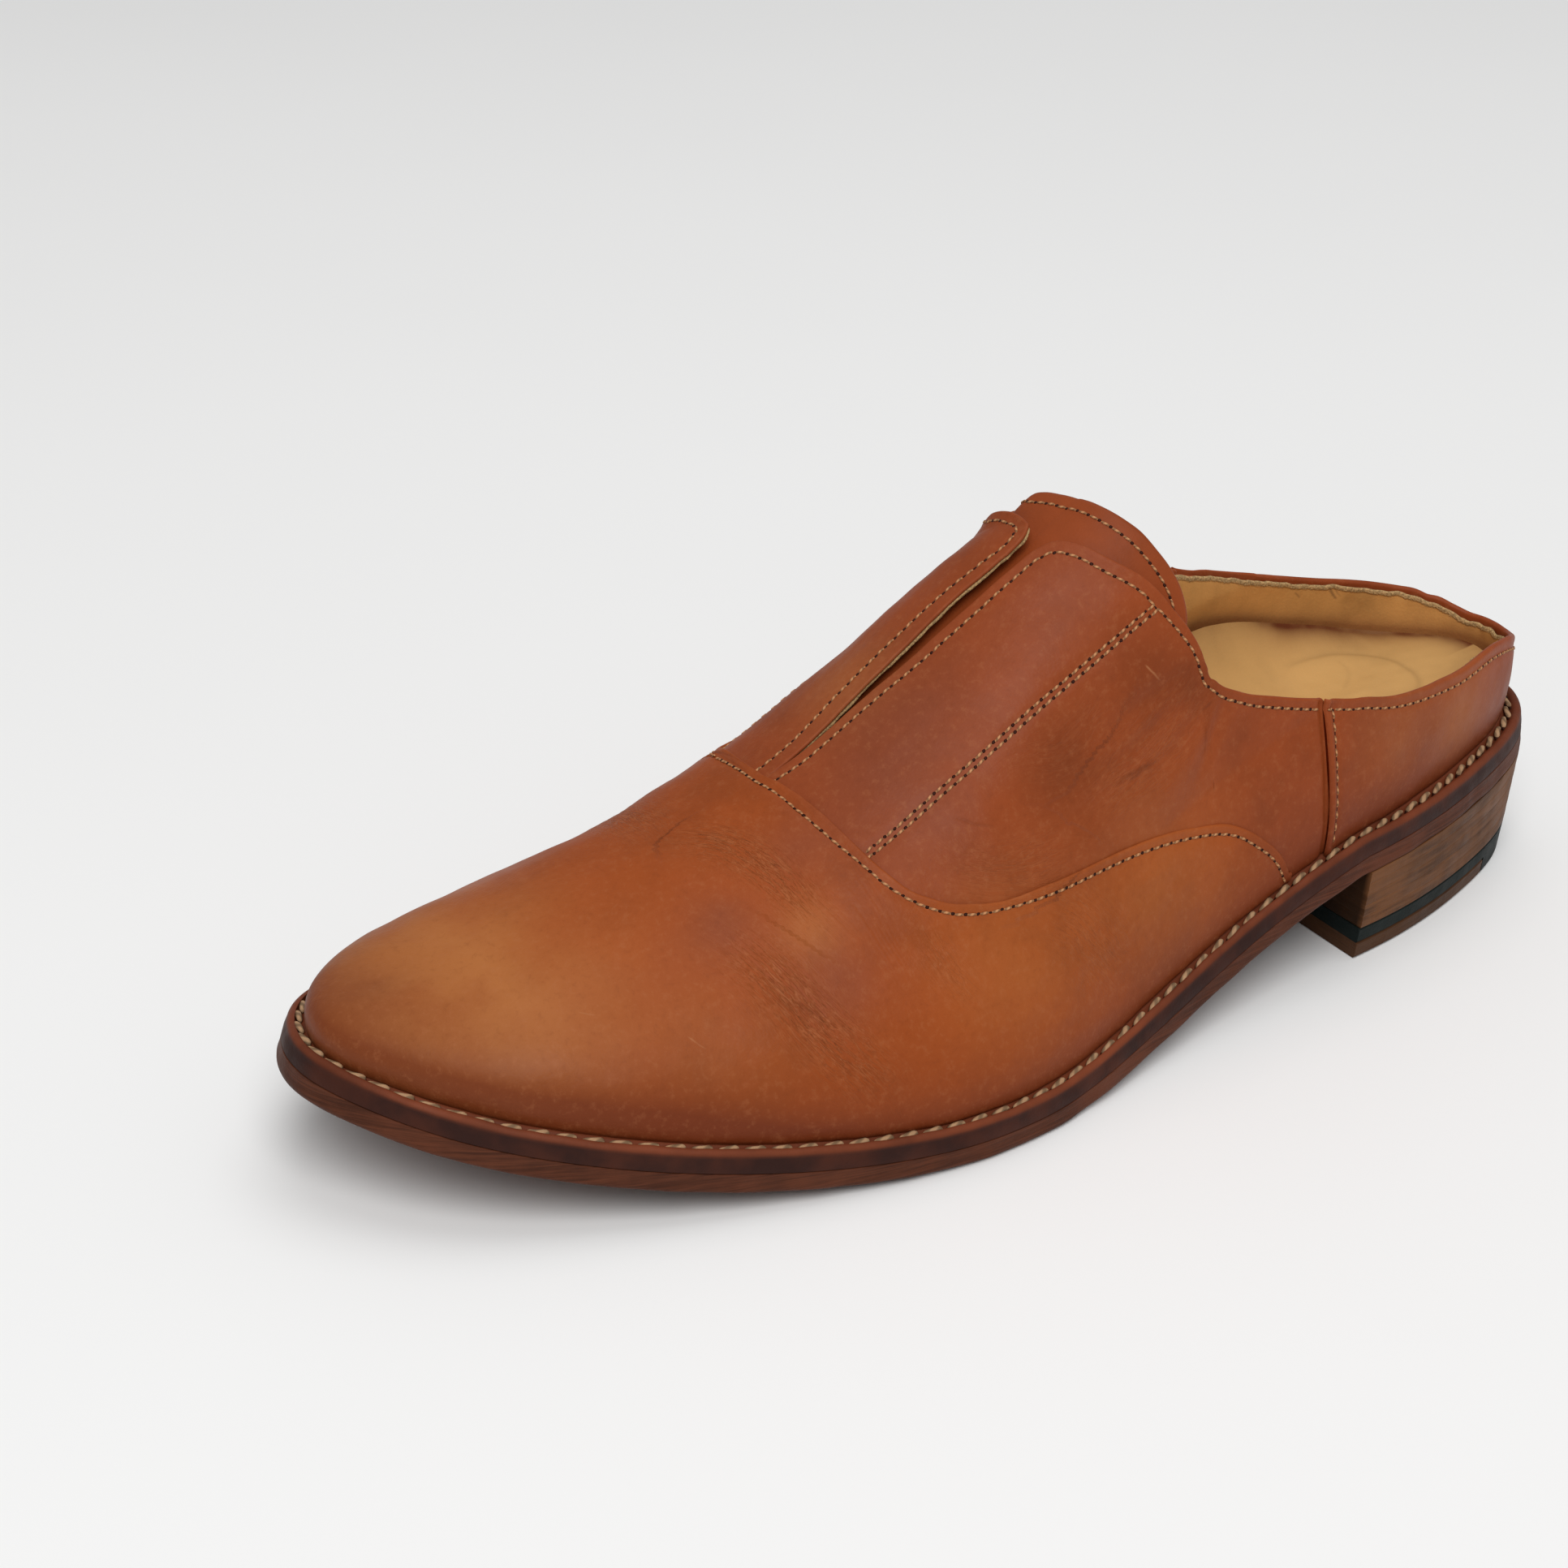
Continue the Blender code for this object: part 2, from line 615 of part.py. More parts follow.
def build_tongue(collection):
    """Curved tongue against the inside of the quarters, from under the vamp to above the top line."""
    across = np.sin(np.linspace(-0.5, 0.5, TONGUE_COLUMNS) * np.pi)
    lengthwise = np.linspace(0.0, 1.0, TONGUE_ROWS)
    side = np.where(across < 0.0, -1.0, 1.0)
    share = 1.0 - (1.0 - TONGUE_SIDE_SHARE) * np.abs(across) ** TONGUE_SIDE_POWER
    top = column_value(TONGUE_TOP, np.abs(across), 1)
    front = TONGUE_FRONT - TONGUE_FRONT_CURVE * across**2
    along = front + (top - front) * lengthwise[:, None]
    turns = side * turn_of(along)
    outer = last_surface(turns, share, TONGUE_DEPTH)
    inner = last_surface(turns, share, TONGUE_DEPTH + TONGUE_THICKNESS)
    rows, count = outer.shape[:2]
    points = np.concatenate([outer.reshape(-1, 3), inner.reshape(-1, 3)])
    below = rows * count
    faces = []
    for row in range(rows - 1):
        for i in range(count - 1):
            first = row * count + i
            quad = (first, first + 1, first + count + 1, first + count)
            faces.append(quad)
            faces.append(tuple(below + k for k in reversed(quad)))
    rim = list(range(count))
    rim += [row * count + count - 1 for row in range(1, rows)]
    rim += [(rows - 1) * count + i for i in range(count - 2, -1, -1)]
    rim += [row * count for row in range(rows - 2, 0, -1)]
    for k, point in enumerate(rim):
        following = rim[(k + 1) % len(rim)]
        faces.append((following, point, below + point, below + following))
    return add_object("tongue", solid_mesh("tongue", points, faces), "tongue_leather", collection)


def main():
    for old in list(bpy.data.objects):
        bpy.data.objects.remove(old, do_unlink=True)
    collection = bpy.data.collections.new("leather_mule")
    bpy.context.scene.collection.children.link(collection)
    build_outsole(collection)
    build_welt(collection)
    build_heel(collection)
    build_insole(collection)
    build_upper(collection)
    build_tongue(collection)


main()
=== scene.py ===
"""Dresses the leather mule: smooth leather, lining, footbed, welted sole, stacked heel and all its stitching.

Shapes follow the part's own rules. `along` is the distance forward from the back of the heel, `turn` the
angle round the sole (0 at the heel, pi at the toe, past pi on the inner side) and `share` the place between
the welt (0) and the crest of the instep (1). +X is the outer side, -Y the toe, +Z up, in metres.
"""

import math

import bpy
import numpy as np
from mathutils import Euler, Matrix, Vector
from mathutils.bvhtree import BVHTree


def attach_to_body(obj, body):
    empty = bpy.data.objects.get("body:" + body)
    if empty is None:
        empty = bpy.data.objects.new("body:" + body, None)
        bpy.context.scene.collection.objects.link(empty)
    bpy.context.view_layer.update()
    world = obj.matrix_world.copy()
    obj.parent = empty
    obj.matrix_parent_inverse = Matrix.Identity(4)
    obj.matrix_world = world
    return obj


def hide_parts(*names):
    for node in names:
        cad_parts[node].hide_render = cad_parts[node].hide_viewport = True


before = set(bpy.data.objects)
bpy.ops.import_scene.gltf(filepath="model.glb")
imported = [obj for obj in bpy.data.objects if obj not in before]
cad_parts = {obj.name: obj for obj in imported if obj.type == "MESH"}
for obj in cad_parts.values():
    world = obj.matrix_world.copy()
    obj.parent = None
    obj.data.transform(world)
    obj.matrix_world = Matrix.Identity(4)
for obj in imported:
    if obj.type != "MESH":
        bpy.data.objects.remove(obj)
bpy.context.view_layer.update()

bl_info = {
    "name": "Leather Mule",
    "version": (1, 0, 0),
    "blender": (4, 5, 0),
    "location": "View3D > Sidebar > Mule",
    "description": "Leather, seams and sole of a backless welted slip-on",
    "category": "Add Mesh",
}

# ---- sizes of the shoe, as the part has them ----
LENGTH = 0.290
OUTSOLE_THICKNESS = 0.0041
WELT_THICKNESS = 0.0040
GAP = 0.0003
WELT_SHOW = 0.0056
WALL = 0.0026
WELT_TOP = OUTSOLE_THICKNESS + GAP + WELT_THICKNESS
FEATHER = WELT_TOP + 1.5 * GAP
WELT_INNER = WELT_SHOW + WALL + 0.0004
SIDE_BULGE = 0.0022
SIDE_BULGE_HEIGHT = 0.030
BREAST = 0.070
HEEL_FRONT_HEIGHT = 0.0210
HEEL_BACK_HEIGHT = 0.0250
BALL = 0.162
BALL_FLAT = 0.010
TOE_SPRING = 0.0215
TOE_SPRING_POWER = 1.95
HEEL_TAPER = 0.0022
TOP_LIFT_THICKNESS = 0.0037
RUBBER_TIP = 0.021
THROAT = 0.1910
SIDE_SEAM = 0.0785
INSOLE_CLEARANCE = 0.0011
TONGUE_FRONT = 0.204
TONGUE_FRONT_CURVE = 0.006
TONGUE_SIDE_SHARE = 0.46
TONGUE_SIDE_POWER = 1.3
CREST_SOFTNESS = 0.010

SOLE_EDGE = np.array([
    # along, lateral x, medial x
    [0.000, -0.0088, -0.0088],
    [0.010, 0.0090, -0.0266],
    [0.028, 0.0186, -0.0360],
    [0.060, 0.0282, -0.0375],
    [0.100, 0.0333, -0.0340],
    [0.138, 0.0419, -0.0385],
    [0.170, 0.0486, -0.0450],
    [0.200, 0.0466, -0.0488],
    [0.228, 0.0398, -0.0490],
    [0.252, 0.0308, -0.0452],
    [0.272, 0.0190, -0.0375],
    [0.284, 0.0060, -0.0268],
    [0.290, -0.0097, -0.0097],
])

RIDGE = np.array([
    # along, x, z of the crest
    [0.030, -0.0070, 0.1100],
    [0.060, -0.0065, 0.1170],
    [0.090, -0.0060, 0.1163],
    [0.115, -0.0065, 0.1085],
    [0.140, -0.0080, 0.0920],
    [0.165, -0.0085, 0.0740],
    [0.190, -0.0090, 0.0587],
    [0.210, -0.0100, 0.0510],
    [0.235, -0.0110, 0.0442],
    [0.255, -0.0105, 0.0398],
    [0.271, -0.0100, 0.0362],
])

FULLNESS = np.array([
    # along, lateral, medial: 2 is an ellipse, more is squarer
    [0.000, 3.00, 3.00],
    [0.050, 2.50, 2.60],
    [0.090, 1.90, 2.60],
    [0.130, 1.75, 3.00],
    [0.160, 1.80, 3.10],
    [0.190, 1.95, 2.90],
    [0.215, 2.10, 2.45],
    [0.240, 2.25, 2.40],
    [0.265, 2.60, 2.60],
    [0.290, 2.90, 2.90],
])

FREE_EDGE = np.array([
    # along, share where the upper ends: lateral, medial
    [0.0000, 0.047, 0.047],
    [0.0015, 0.049, 0.048],
    [0.0040, 0.055, 0.056],
    [0.0066, 0.063, 0.066],
    [0.0088, 0.070, 0.070],
    [0.0105, 0.076, 0.077],
    [0.0137, 0.0855, 0.084],
    [0.0200, 0.100, 0.097],
    [0.0400, 0.116, 0.136],
    [0.0600, 0.151, 0.180],
    [0.0780, 0.225, 0.236],
    [0.0900, 0.288, 0.304],
    [0.0990, 0.340, 0.357],
    [0.1050, 0.387, 0.402],
    [0.1068, 0.409, 0.426],
    [0.1079, 0.449, 0.449],
    [0.1098, 0.490, 0.480],
    [0.1137, 0.558, 0.540],
    [0.1168, 0.614, 0.580],
    [0.1240, 0.728, 0.710],
    [0.1290, 0.829, 0.820],
    [0.1311, 0.867, 0.880],
    [0.1345, 0.896, 0.955],
    [0.1400, 0.910, 0.996],
    [0.1473, 0.924, 1.000],
    [0.1600, 0.953, 1.000],
    [0.1723, 0.975, 1.000],
    [0.1889, 0.993, 1.000],
    [0.1910, 1.000, 1.000],
    [0.2900, 1.000, 1.000],
])

VAMP_SEAM = np.array([
    # along, share of the stitched line that holds the vamp on the quarters
    [0.0892, 0.000],
    [0.0926, 0.057],
    [0.0968, 0.101],
    [0.1037, 0.157],
    [0.1133, 0.201],
    [0.1293, 0.256],
    [0.1518, 0.321],
    [0.1697, 0.384],
    [0.1785, 0.447],
    [0.1846, 0.535],
    [0.1885, 0.660],
    [0.1909, 0.786],
    [0.1922, 0.920],
    [0.1930, 1.000],
])
VAMP_SEAM_INNER = np.vstack([
    VAMP_SEAM[:-4], [[0.1885, 0.605], [0.1909, 0.680], [0.1926, 0.800], [0.1930, 1.000]]])

TONGUE_TOP = np.array([
    # across, along of the top edge: lateral, medial
    [0.00, 0.1243, 0.1243],
    [0.16, 0.1234, 0.1243],
    [0.35, 0.1211, 0.1240],
    [0.49, 0.1182, 0.1240],
    [0.58, 0.1158, 0.1232],
    [0.68, 0.1133, 0.1208],
    [0.76, 0.1111, 0.1172],
    [0.83, 0.1095, 0.1134],
    [0.90, 0.1088, 0.1106],
    [0.95, 0.1102, 0.1106],
    [1.00, 0.1170, 0.1170],
])

FLAP_EDGE = np.array([
    # along, then the along and share to which the flap's edge moves; past 1 it lies on the outer side
    [0.1137, 0.1137, 0.540],
    [0.1168, 0.1188, 0.588],
    [0.1205, 0.1248, 0.650],
    [0.1240, 0.1286, 0.704],
    [0.1268, 0.1305, 0.752],
    [0.1290, 0.1315, 0.805],
    [0.1311, 0.1319, 0.875],
    [0.1330, 0.1322, 0.938],
    [0.1345, 0.1327, 0.986],
    [0.1365, 0.1341, 1.022],
    [0.1400, 0.1376, 1.038],
    [0.1435, 0.1424, 1.033],
    [0.1473, 0.1473, 1.016],
    [0.1540, 0.1540, 1.004],
    [0.1600, 0.1600, 1.000],
])
FLAP_LIFT = 0.0012
FOOT_SPREAD = (0.0013, 0.0015)  # leather that spreads over the welt: everywhere, and more from waist to toe
FOOT_SPREAD_HEIGHT = 0.012

FOOTBED = np.array([
    # along, rise at the outer wall, at the inner wall, dish
    [0.000, 0.0095, 0.0095, 0.0015],
    [0.018, 0.0098, 0.0105, 0.0017],
    [0.042, 0.0105, 0.0160, 0.0020],
    [0.067, 0.0102, 0.0235, 0.0020],
    [0.080, 0.0100, 0.0255, 0.0020],
    [0.100, 0.0092, 0.0235, 0.0018],
    [0.125, 0.0070, 0.0140, 0.0013],
    [0.150, 0.0055, 0.0070, 0.0009],
    [0.190, 0.0035, 0.0035, 0.0005],
    [0.290, 0.0030, 0.0030, 0.0003],
])

# ---- wear, and patches of painted light and shade ----
OUTER, INNER = 1.0, -1.0  # sides of the shoe: lateral, medial

# Soft troughs (negative) and ridges of leather and lining together.
FOLDS = (
    # side, height, half width, ((along, share), ...)
    (OUTER, -0.0011, 0.0034, ((0.1062, 0.405), (0.1114, 0.397),
                              (0.118, 0.397), (0.1268, 0.397), (0.1374, 0.406))),
    (OUTER, -0.0008, 0.0026, ((0.1062, 0.388), (0.1097, 0.364), (0.1158, 0.347), (0.1235, 0.343))),
    (OUTER, -0.0006, 0.0022, ((0.1033, 0.36), (0.1049, 0.331), (0.1081, 0.297), (0.112, 0.27))),
    (OUTER, -0.0008, 0.0030, ((0.1085, 0.428), (0.1147, 0.437), (0.1224, 0.448), (0.133, 0.455))),
    (OUTER, 0.0008, 0.0060, ((0.111, 0.33), (0.118, 0.3), (0.129, 0.3))),
    (OUTER, -0.0014, 0.0095, ((0.162, 0.5), (0.148, 0.45), (0.1352, 0.47), (0.125, 0.48))),
    (OUTER, -0.0004, 0.0050, ((0.211, 0.985), (0.206, 0.887),
                              (0.203, 0.728), (0.2009, 0.632), (0.199, 0.52))),
    (OUTER, -0.0005, 0.0050, ((0.215, 0.573), (0.2115, 0.448),
                              (0.209, 0.339), (0.205, 0.243), (0.1983, 0.121))),
    (INNER, -0.0009, 0.0048, ((0.215, 0.64), (0.212, 0.52), (0.207, 0.4), (0.204, 0.32))),
    (INNER, -0.0009, 0.0046, ((0.2, 0.56), (0.194, 0.47), (0.186, 0.39), (0.179, 0.32))),
    (INNER, -0.0014, 0.0080, ((0.201, 0.4), (0.193, 0.33), (0.188, 0.25))),
    (INNER, -0.0010, 0.0050, ((0.212, 0.13), (0.192, 0.14), (0.17, 0.13), (0.15, 0.11))),
    (INNER, -0.0009, 0.0036, ((0.1075, 0.41), (0.115, 0.4), (0.124, 0.395), (0.135, 0.4))),
    (INNER, -0.0012, 0.0090, ((0.16, 0.5), (0.145, 0.47), (0.13, 0.48))),
)

# Bands of fine parallel wrinkles: fine ridges along them, with a painted highlight on their crests.
WRINKLES = (
    # side, half width, strength, ((along, share), ...)
    (OUTER, 0.0045, 1.0, ((0.212, 0.99), (0.206, 0.887),
                          (0.2024, 0.728), (0.2009, 0.632), (0.1985, 0.53))),
    (OUTER, 0.0060, 1.0, ((0.217, 0.62), (0.2125, 0.47),
                          (0.209, 0.339), (0.205, 0.243), (0.1975, 0.1))),
    (OUTER, 0.0040, 0.5, ((0.1829, 0.444), (0.1812, 0.372), (0.1785, 0.301), (0.1747, 0.238))),
    (OUTER, 0.0090, 0.5, ((0.153, 0.305), (0.1469, 0.247), (0.1435, 0.201), (0.1368, 0.113))),
    (OUTER, 0.0060, 0.9, ((0.174, 0.56), (0.169, 0.48), (0.16, 0.415), (0.1435, 0.36))),
    (OUTER, 0.0080, 0.8, ((0.106, 0.395), (0.114, 0.38), (0.124, 0.375), (0.14, 0.39))),
    (OUTER, 0.0060, 0.6, ((0.154, 0.56), (0.142, 0.5), (0.128, 0.5))),
    (INNER, 0.0060, 1.0, ((0.212, 0.99), (0.213, 0.8),
                          (0.212, 0.56), (0.206, 0.38), (0.202, 0.25))),
    (INNER, 0.0070, 0.9, ((0.2, 0.6), (0.194, 0.47), (0.186, 0.38), (0.179, 0.3))),
    (INNER, 0.0090, 0.8, ((0.106, 0.4), (0.114, 0.39), (0.124, 0.385), (0.145, 0.42))),
)

# Patches of tone: ochre is polished leather with a painted highlight, purple the leather's plum tone
# with a painted reflection, dark a painted shade. The amount is how much each tone shows there.
PATCHES = (
    # tone, side, along, share, radius, amount
    ("ochre", OUTER, 0.2800, 0.700, 0.0250, 1.00),
    ("ochre", OUTER, 0.2837, 0.450, 0.0130, 0.55),
    ("ochre", OUTER, 0.2640, 0.660, 0.0240, 0.25),
    ("ochre", INNER, 0.2750, 0.600, 0.0250, 0.75),
    ("ochre", OUTER, 0.2019, 0.540, 0.0055, 0.50),
    ("ochre", OUTER, 0.2480, 0.300, 0.0180, 0.25),
    ("ochre", OUTER, 0.1640, 0.250, 0.0160, 0.30),
    ("ochre", OUTER, 0.1220, 0.170, 0.0180, 0.30),
    ("ochre", INNER, 0.1700, 0.960, 0.0100, 0.45),
    ("ochre", OUTER, 0.2250, 0.260, 0.0120, 0.15),
    ("ochre", OUTER, 0.0600, 0.100, 0.0110, 0.30),
    ("ochre", OUTER, 0.0360, 0.046, 0.0110, 0.45),
    ("purple", OUTER, 0.2155, 0.657, 0.0070, 0.70),
    ("purple", OUTER, 0.2019, 0.402, 0.0090, 0.65),
    ("purple", OUTER, 0.1950, 0.760, 0.0075, 0.60),
    ("purple", OUTER, 0.1659, 0.820, 0.0160, 0.75),
    ("purple", OUTER, 0.1780, 0.760, 0.0120, 0.55),
    ("purple", OUTER, 0.1350, 0.800, 0.0140, 0.45),
    ("purple", OUTER, 0.1700, 0.560, 0.0070, 0.70),
    ("purple", OUTER, 0.0650, 0.160, 0.0100, 0.35),
    ("purple", INNER, 0.1700, 0.700, 0.0150, 0.50),
    ("purple", INNER, 0.2100, 0.480, 0.0110, 0.45),
    ("dark", OUTER, 0.1419, 0.475, 0.0110, 0.70),
    ("dark", OUTER, 0.1213, 0.500, 0.0080, 0.65),
    ("dark", OUTER, 0.1100, 0.410, 0.0060, 0.55),
    ("dark", OUTER, 0.0515, 0.060, 0.0060, 0.30),
    ("dark", INNER, 0.1900, 0.320, 0.0120, 0.60),
    ("dark", INNER, 0.1300, 0.450, 0.0140, 0.55),
)

# Single creases, darkened mostly with painted shade, and thin light scratches: between two places.
QUARTER_MARKS = (
    # kind, side, half width, strength, (along, share) of both ends
    ("crease", OUTER, 0.0008, 0.80, ((0.1095, 0.405), (0.1285, 0.387))),
    ("crease", OUTER, 0.0006, 0.72, ((0.104, 0.365), (0.1165, 0.35))),
    ("crease", OUTER, 0.0007, 0.80, ((0.115, 0.351), (0.13, 0.366))),
    ("crease", OUTER, 0.0006, 0.72, ((0.101, 0.343), (0.114, 0.331))),
    ("crease", OUTER, 0.0008, 0.72, ((0.113, 0.331), (0.135, 0.391))),
    ("crease", OUTER, 0.0006, 0.40, ((0.0974, 0.324), (0.1111, 0.309))),
    ("crease", OUTER, 0.0009, 0.65, ((0.134, 0.391), (0.156, 0.482))),
    ("crease", OUTER, 0.0005, 0.50, ((0.1053, 0.388), (0.1166, 0.381))),
    ("crease", OUTER, 0.0005, 0.40, ((0.102, 0.36), (0.1053, 0.312))),
    ("crease", OUTER, 0.0006, 0.35, ((0.1781, 0.595), (0.1757, 0.502))),
    ("crease", OUTER, 0.0006, 0.35, ((0.1764, 0.528), (0.1695, 0.455))),
    ("crease", OUTER, 0.0006, 0.30, ((0.1688, 0.579), (0.1612, 0.495))),
    ("scratch", OUTER, 0.00030, 0.80, ((0.1221, 0.515), (0.1152, 0.425))),
    ("scratch", OUTER, 0.00040, 0.90, ((0.1506, 0.597), (0.1452, 0.49))),
    ("scratch", OUTER, 0.00022, 0.60, ((0.1597, 0.8), (0.158, 0.742))),
    ("scratch", OUTER, 0.00022, 0.50, ((0.133, 0.47), (0.1255, 0.45))),
)
VAMP_MARKS = (
    ("scratch", OUTER, 0.00025, 0.60, ((0.2325, 0.385), (0.23, 0.33))),
    ("scratch", OUTER, 0.00022, 0.45, ((0.248, 0.56), (0.245, 0.52))),
    ("crease", OUTER, 0.00060, 0.90, ((0.2102, 0.228), (0.2092, 0.22))),
    ("crease", OUTER, 0.0008, 0.35, ((0.205, 0.86), (0.2, 0.6))),
    ("crease", OUTER, 0.0008, 0.35, ((0.2148, 0.54), (0.209, 0.34))),
    ("crease", OUTER, 0.0008, 0.35, ((0.2107, 0.4), (0.204, 0.215))),
)
LINING_MARKS = (
    ("crease", INNER, 0.00045, 0.60, ((0.0419, 0.124), (0.0394, 0.108))),
    ("crease", INNER, 0.00060, 0.90, ((0.0312, 0.115), (0.0286, 0.088))),
    ("crease", INNER, 0.00045, 0.70, ((0.0298, 0.113), (0.0274, 0.093))),
)


# ---- the last and the sole ----
def turn_of(along):
    """Angle round the sole at a distance from the heel: the inverse of half a cosine wave."""
    return np.arccos(np.clip(1.0 - 2.0 * np.asarray(along) / LENGTH, -1.0, 1.0))


def along_of(turn):
    """Distance from the heel at an angle round the sole: half a cosine wave over the length."""
    return LENGTH / 2.0 * (1.0 - np.cos(turn))


def column_value(table, along, column):
    """Smooth value of a table's column: cubic pieces whose slopes follow both neighbours."""
    x, y = table[:, 0], table[:, column]
    step = np.diff(x)
    slope = np.diff(y) / step
    inner = (slope[:-1] * step[1:] + slope[1:] * step[:-1]) / (step[:-1] + step[1:])
    inner = np.where(slope[:-1] * slope[1:] <= 0.0, 0.0, inner)
    tangent = np.concatenate([slope[:1], inner, slope[-1:]])
    at = np.clip(along, x[0], x[-1])
    k = np.clip(np.searchsorted(x, at, side="right") - 1, 0, len(x) - 2)
    t = (at - x[k]) / step[k]
    start = (2 * t**3 - 3 * t**2 + 1) * y[k] + (t**3 - 2 * t**2 + t) * step[k] * tangent[k]
    end = (3 * t**2 - 2 * t**3) * y[k + 1] + (t**3 - t**2) * step[k] * tangent[k + 1]
    return start + end


def closed_spline(knots, values):
    """Cubic spline through values at angles that repeats after a full turn."""
    count = len(knots)
    step = np.diff(np.append(knots, knots[0] + 2.0 * np.pi))
    slope = np.diff(np.append(values, values[0])) / step
    matrix = np.diag(2.0 * (np.roll(step, 1) + step))
    order = np.arange(count)
    matrix[order, order - 1] += np.roll(step, 1)
    matrix[order, (order + 1) % count] += step
    bend = np.linalg.solve(matrix, 6.0 * (slope - np.roll(slope, 1)))

    def value(turn):
        turn = np.mod(np.asarray(turn) - knots[0], 2.0 * np.pi) + knots[0]
        k = np.clip(np.searchsorted(knots, turn, side="right") - 1, 0, count - 1)
        t = turn - knots[k]
        near, far = bend[k], bend[(k + 1) % count]
        first = slope[k] - step[k] * (2.0 * near + far) / 6.0
        return values[k] + t * first + t * t * near / 2.0 + t**3 * (far - near) / (6.0 * step[k])

    return value


def sole_edge_function():
    """x of the sole's edge as a function of the turn: a closed spline through both sides."""
    turns = turn_of(SOLE_EDGE[:, 0])
    knots = np.concatenate([turns, 2.0 * np.pi - turns[-2:0:-1]])
    return closed_spline(knots, np.concatenate([SOLE_EDGE[:, 1], SOLE_EDGE[-2:0:-1, 2]]))


SOLE_EDGE_X = sole_edge_function()


def tread_height(along):
    """Floor to the underside of the sole: sloping heel seat, arch, flat at the ball, toe spring."""
    along = np.asarray(along, float)
    seat_share = 1.0 - along / BREAST
    seat = HEEL_FRONT_HEIGHT + (HEEL_BACK_HEIGHT - HEEL_FRONT_HEIGHT) * seat_share
    rise = held((BALL - along) / (BALL - BREAST))
    arch = HEEL_FRONT_HEIGHT * (0.5 * rise**2 * (3.0 - 2.0 * rise) + 0.5 * rise**1.7)
    flat_end = BALL + BALL_FLAT
    spring_share = np.clip((along - flat_end) / (LENGTH - flat_end), 0.0, None)
    spring = TOE_SPRING * spring_share**TOE_SPRING_POWER
    return np.where(along < BREAST, seat, np.where(along < flat_end, arch, spring))


def outline(turn, inset):
    """(along, x) of the sole's edge moved inwards by `inset`, square to the edge."""
    tiny = 1e-3
    before = np.stack([along_of(turn - tiny), SOLE_EDGE_X(turn - tiny)], -1)
    after = np.stack([along_of(turn + tiny), SOLE_EDGE_X(turn + tiny)], -1)
    tangent = after - before
    tangent /= size_of(tangent)[..., None]
    outward = np.stack([-tangent[..., 1], tangent[..., 0]], -1)
    edge = np.stack([along_of(turn), SOLE_EDGE_X(turn)], -1)
    return edge - outward * np.asarray(inset)[..., None]


def above_tread(point, height):
    """World point `height` above the underside of the sole, square to it."""
    along, x = point[..., 0], point[..., 1]
    tiny = 0.0015
    slope = (tread_height(along + tiny) - tread_height(along - tiny)) / (2.0 * tiny)
    normal_z = 1.0 / np.sqrt(1.0 + slope**2)
    y = LENGTH / 2.0 - along + slope * normal_z * height
    return np.stack([x, y, tread_height(along) + normal_z * height], -1)


def feather_point(turn, inward):
    """Lower edge of the wall, `inward` inside the upper's outer face."""
    return above_tread(outline(turn, WELT_SHOW + inward), FEATHER)


def crest_point(turn, inward):
    """Crest of a section. At heel and toe the sections fan out from the crest's two ends."""
    along = along_of(turn)
    first, last = RIDGE[0, 0], RIDGE[-1, 0] - inward
    soft = CREST_SOFTNESS
    station = first + soft * np.log1p(np.exp((along - first) / soft))
    station = last - soft * np.log1p(np.exp((last - station) / soft))
    station = np.clip(station, first, last)
    tiny = 0.001
    rise = column_value(RIDGE, station - tiny, 2) - column_value(RIDGE, station + tiny, 2)
    slope = rise / (2.0 * tiny)
    normal_z = 1.0 / np.sqrt(1.0 + slope**2)
    x = column_value(RIDGE, station, 1)
    y = LENGTH / 2.0 - station + slope * normal_z * inward
    z = column_value(RIDGE, station, 2) - normal_z * inward
    return np.stack([x, y, z], -1)


def by_side(table, turn):
    """A two-sided table's value at a turn: its first column outside, its second inside."""
    along = along_of(turn)
    lateral = np.sin(turn) >= 0.0
    return np.where(lateral, column_value(table, along, 1), column_value(table, along, 2))


def last_surface(turn, share, inward):
    """Super-ellipse from the feather (share 0) to the crest (share 1), with a low bulge above the
    welt: across = 1 - cos(a)^p and up = sin(a)^p, where a = share * pi/2 and p = 2 / fullness."""
    turn, share, inward = np.broadcast_arrays(turn, share, inward)
    foot = feather_point(turn, inward)
    crest = crest_point(turn, inward)
    power = 2.0 / by_side(FULLNESS, turn)
    angle = held(share) * np.pi / 2.0
    reach = 1.0 - held(np.cos(angle)) ** power
    height = np.sin(angle) ** power * (crest - foot)[..., 2]
    across = (crest - foot)[..., :2]
    outward = -across / (size_of(across)[..., None] + 1e-9)
    bulge = SIDE_BULGE * np.sin(held(height / SIDE_BULGE_HEIGHT) * np.pi)
    bulge *= held(np.cos(angle))
    spread = FOOT_SPREAD[0] + FOOT_SPREAD[1] * step_up(along_of(turn), 0.040, 0.085) * step_up(
        np.sin(turn), -0.30, 0.05)
    bulge += spread * bell(height, FOOT_SPREAD_HEIGHT) * (inward < 0.0012)
    flat = foot[..., :2] + across * reach[..., None] + outward * bulge[..., None]
    return np.concatenate([flat, (foot[..., 2] + height)[..., None]], -1)


def share_at_height(turn, height, inward):
    """Share at which the wall is `height` above the feather: the super-ellipse's rise turned round."""
    full = crest_point(turn, inward)[..., 2] - feather_point(turn, inward)[..., 2]
    angle = np.arcsin(held(height / full) ** (by_side(FULLNESS, turn) / 2.0))
    return angle * 2.0 / np.pi


def held(value):
    """A value held between 0 and 1."""
    return np.clip(value, 0.0, 1.0)


def bell(distance, width):
    """Bell of height one: e to the power -(distance / width)^2."""
    return np.exp(-(distance / width) ** 2)


def size_of(vectors):
    """Length of each vector."""
    return np.linalg.norm(vectors, axis=-1)


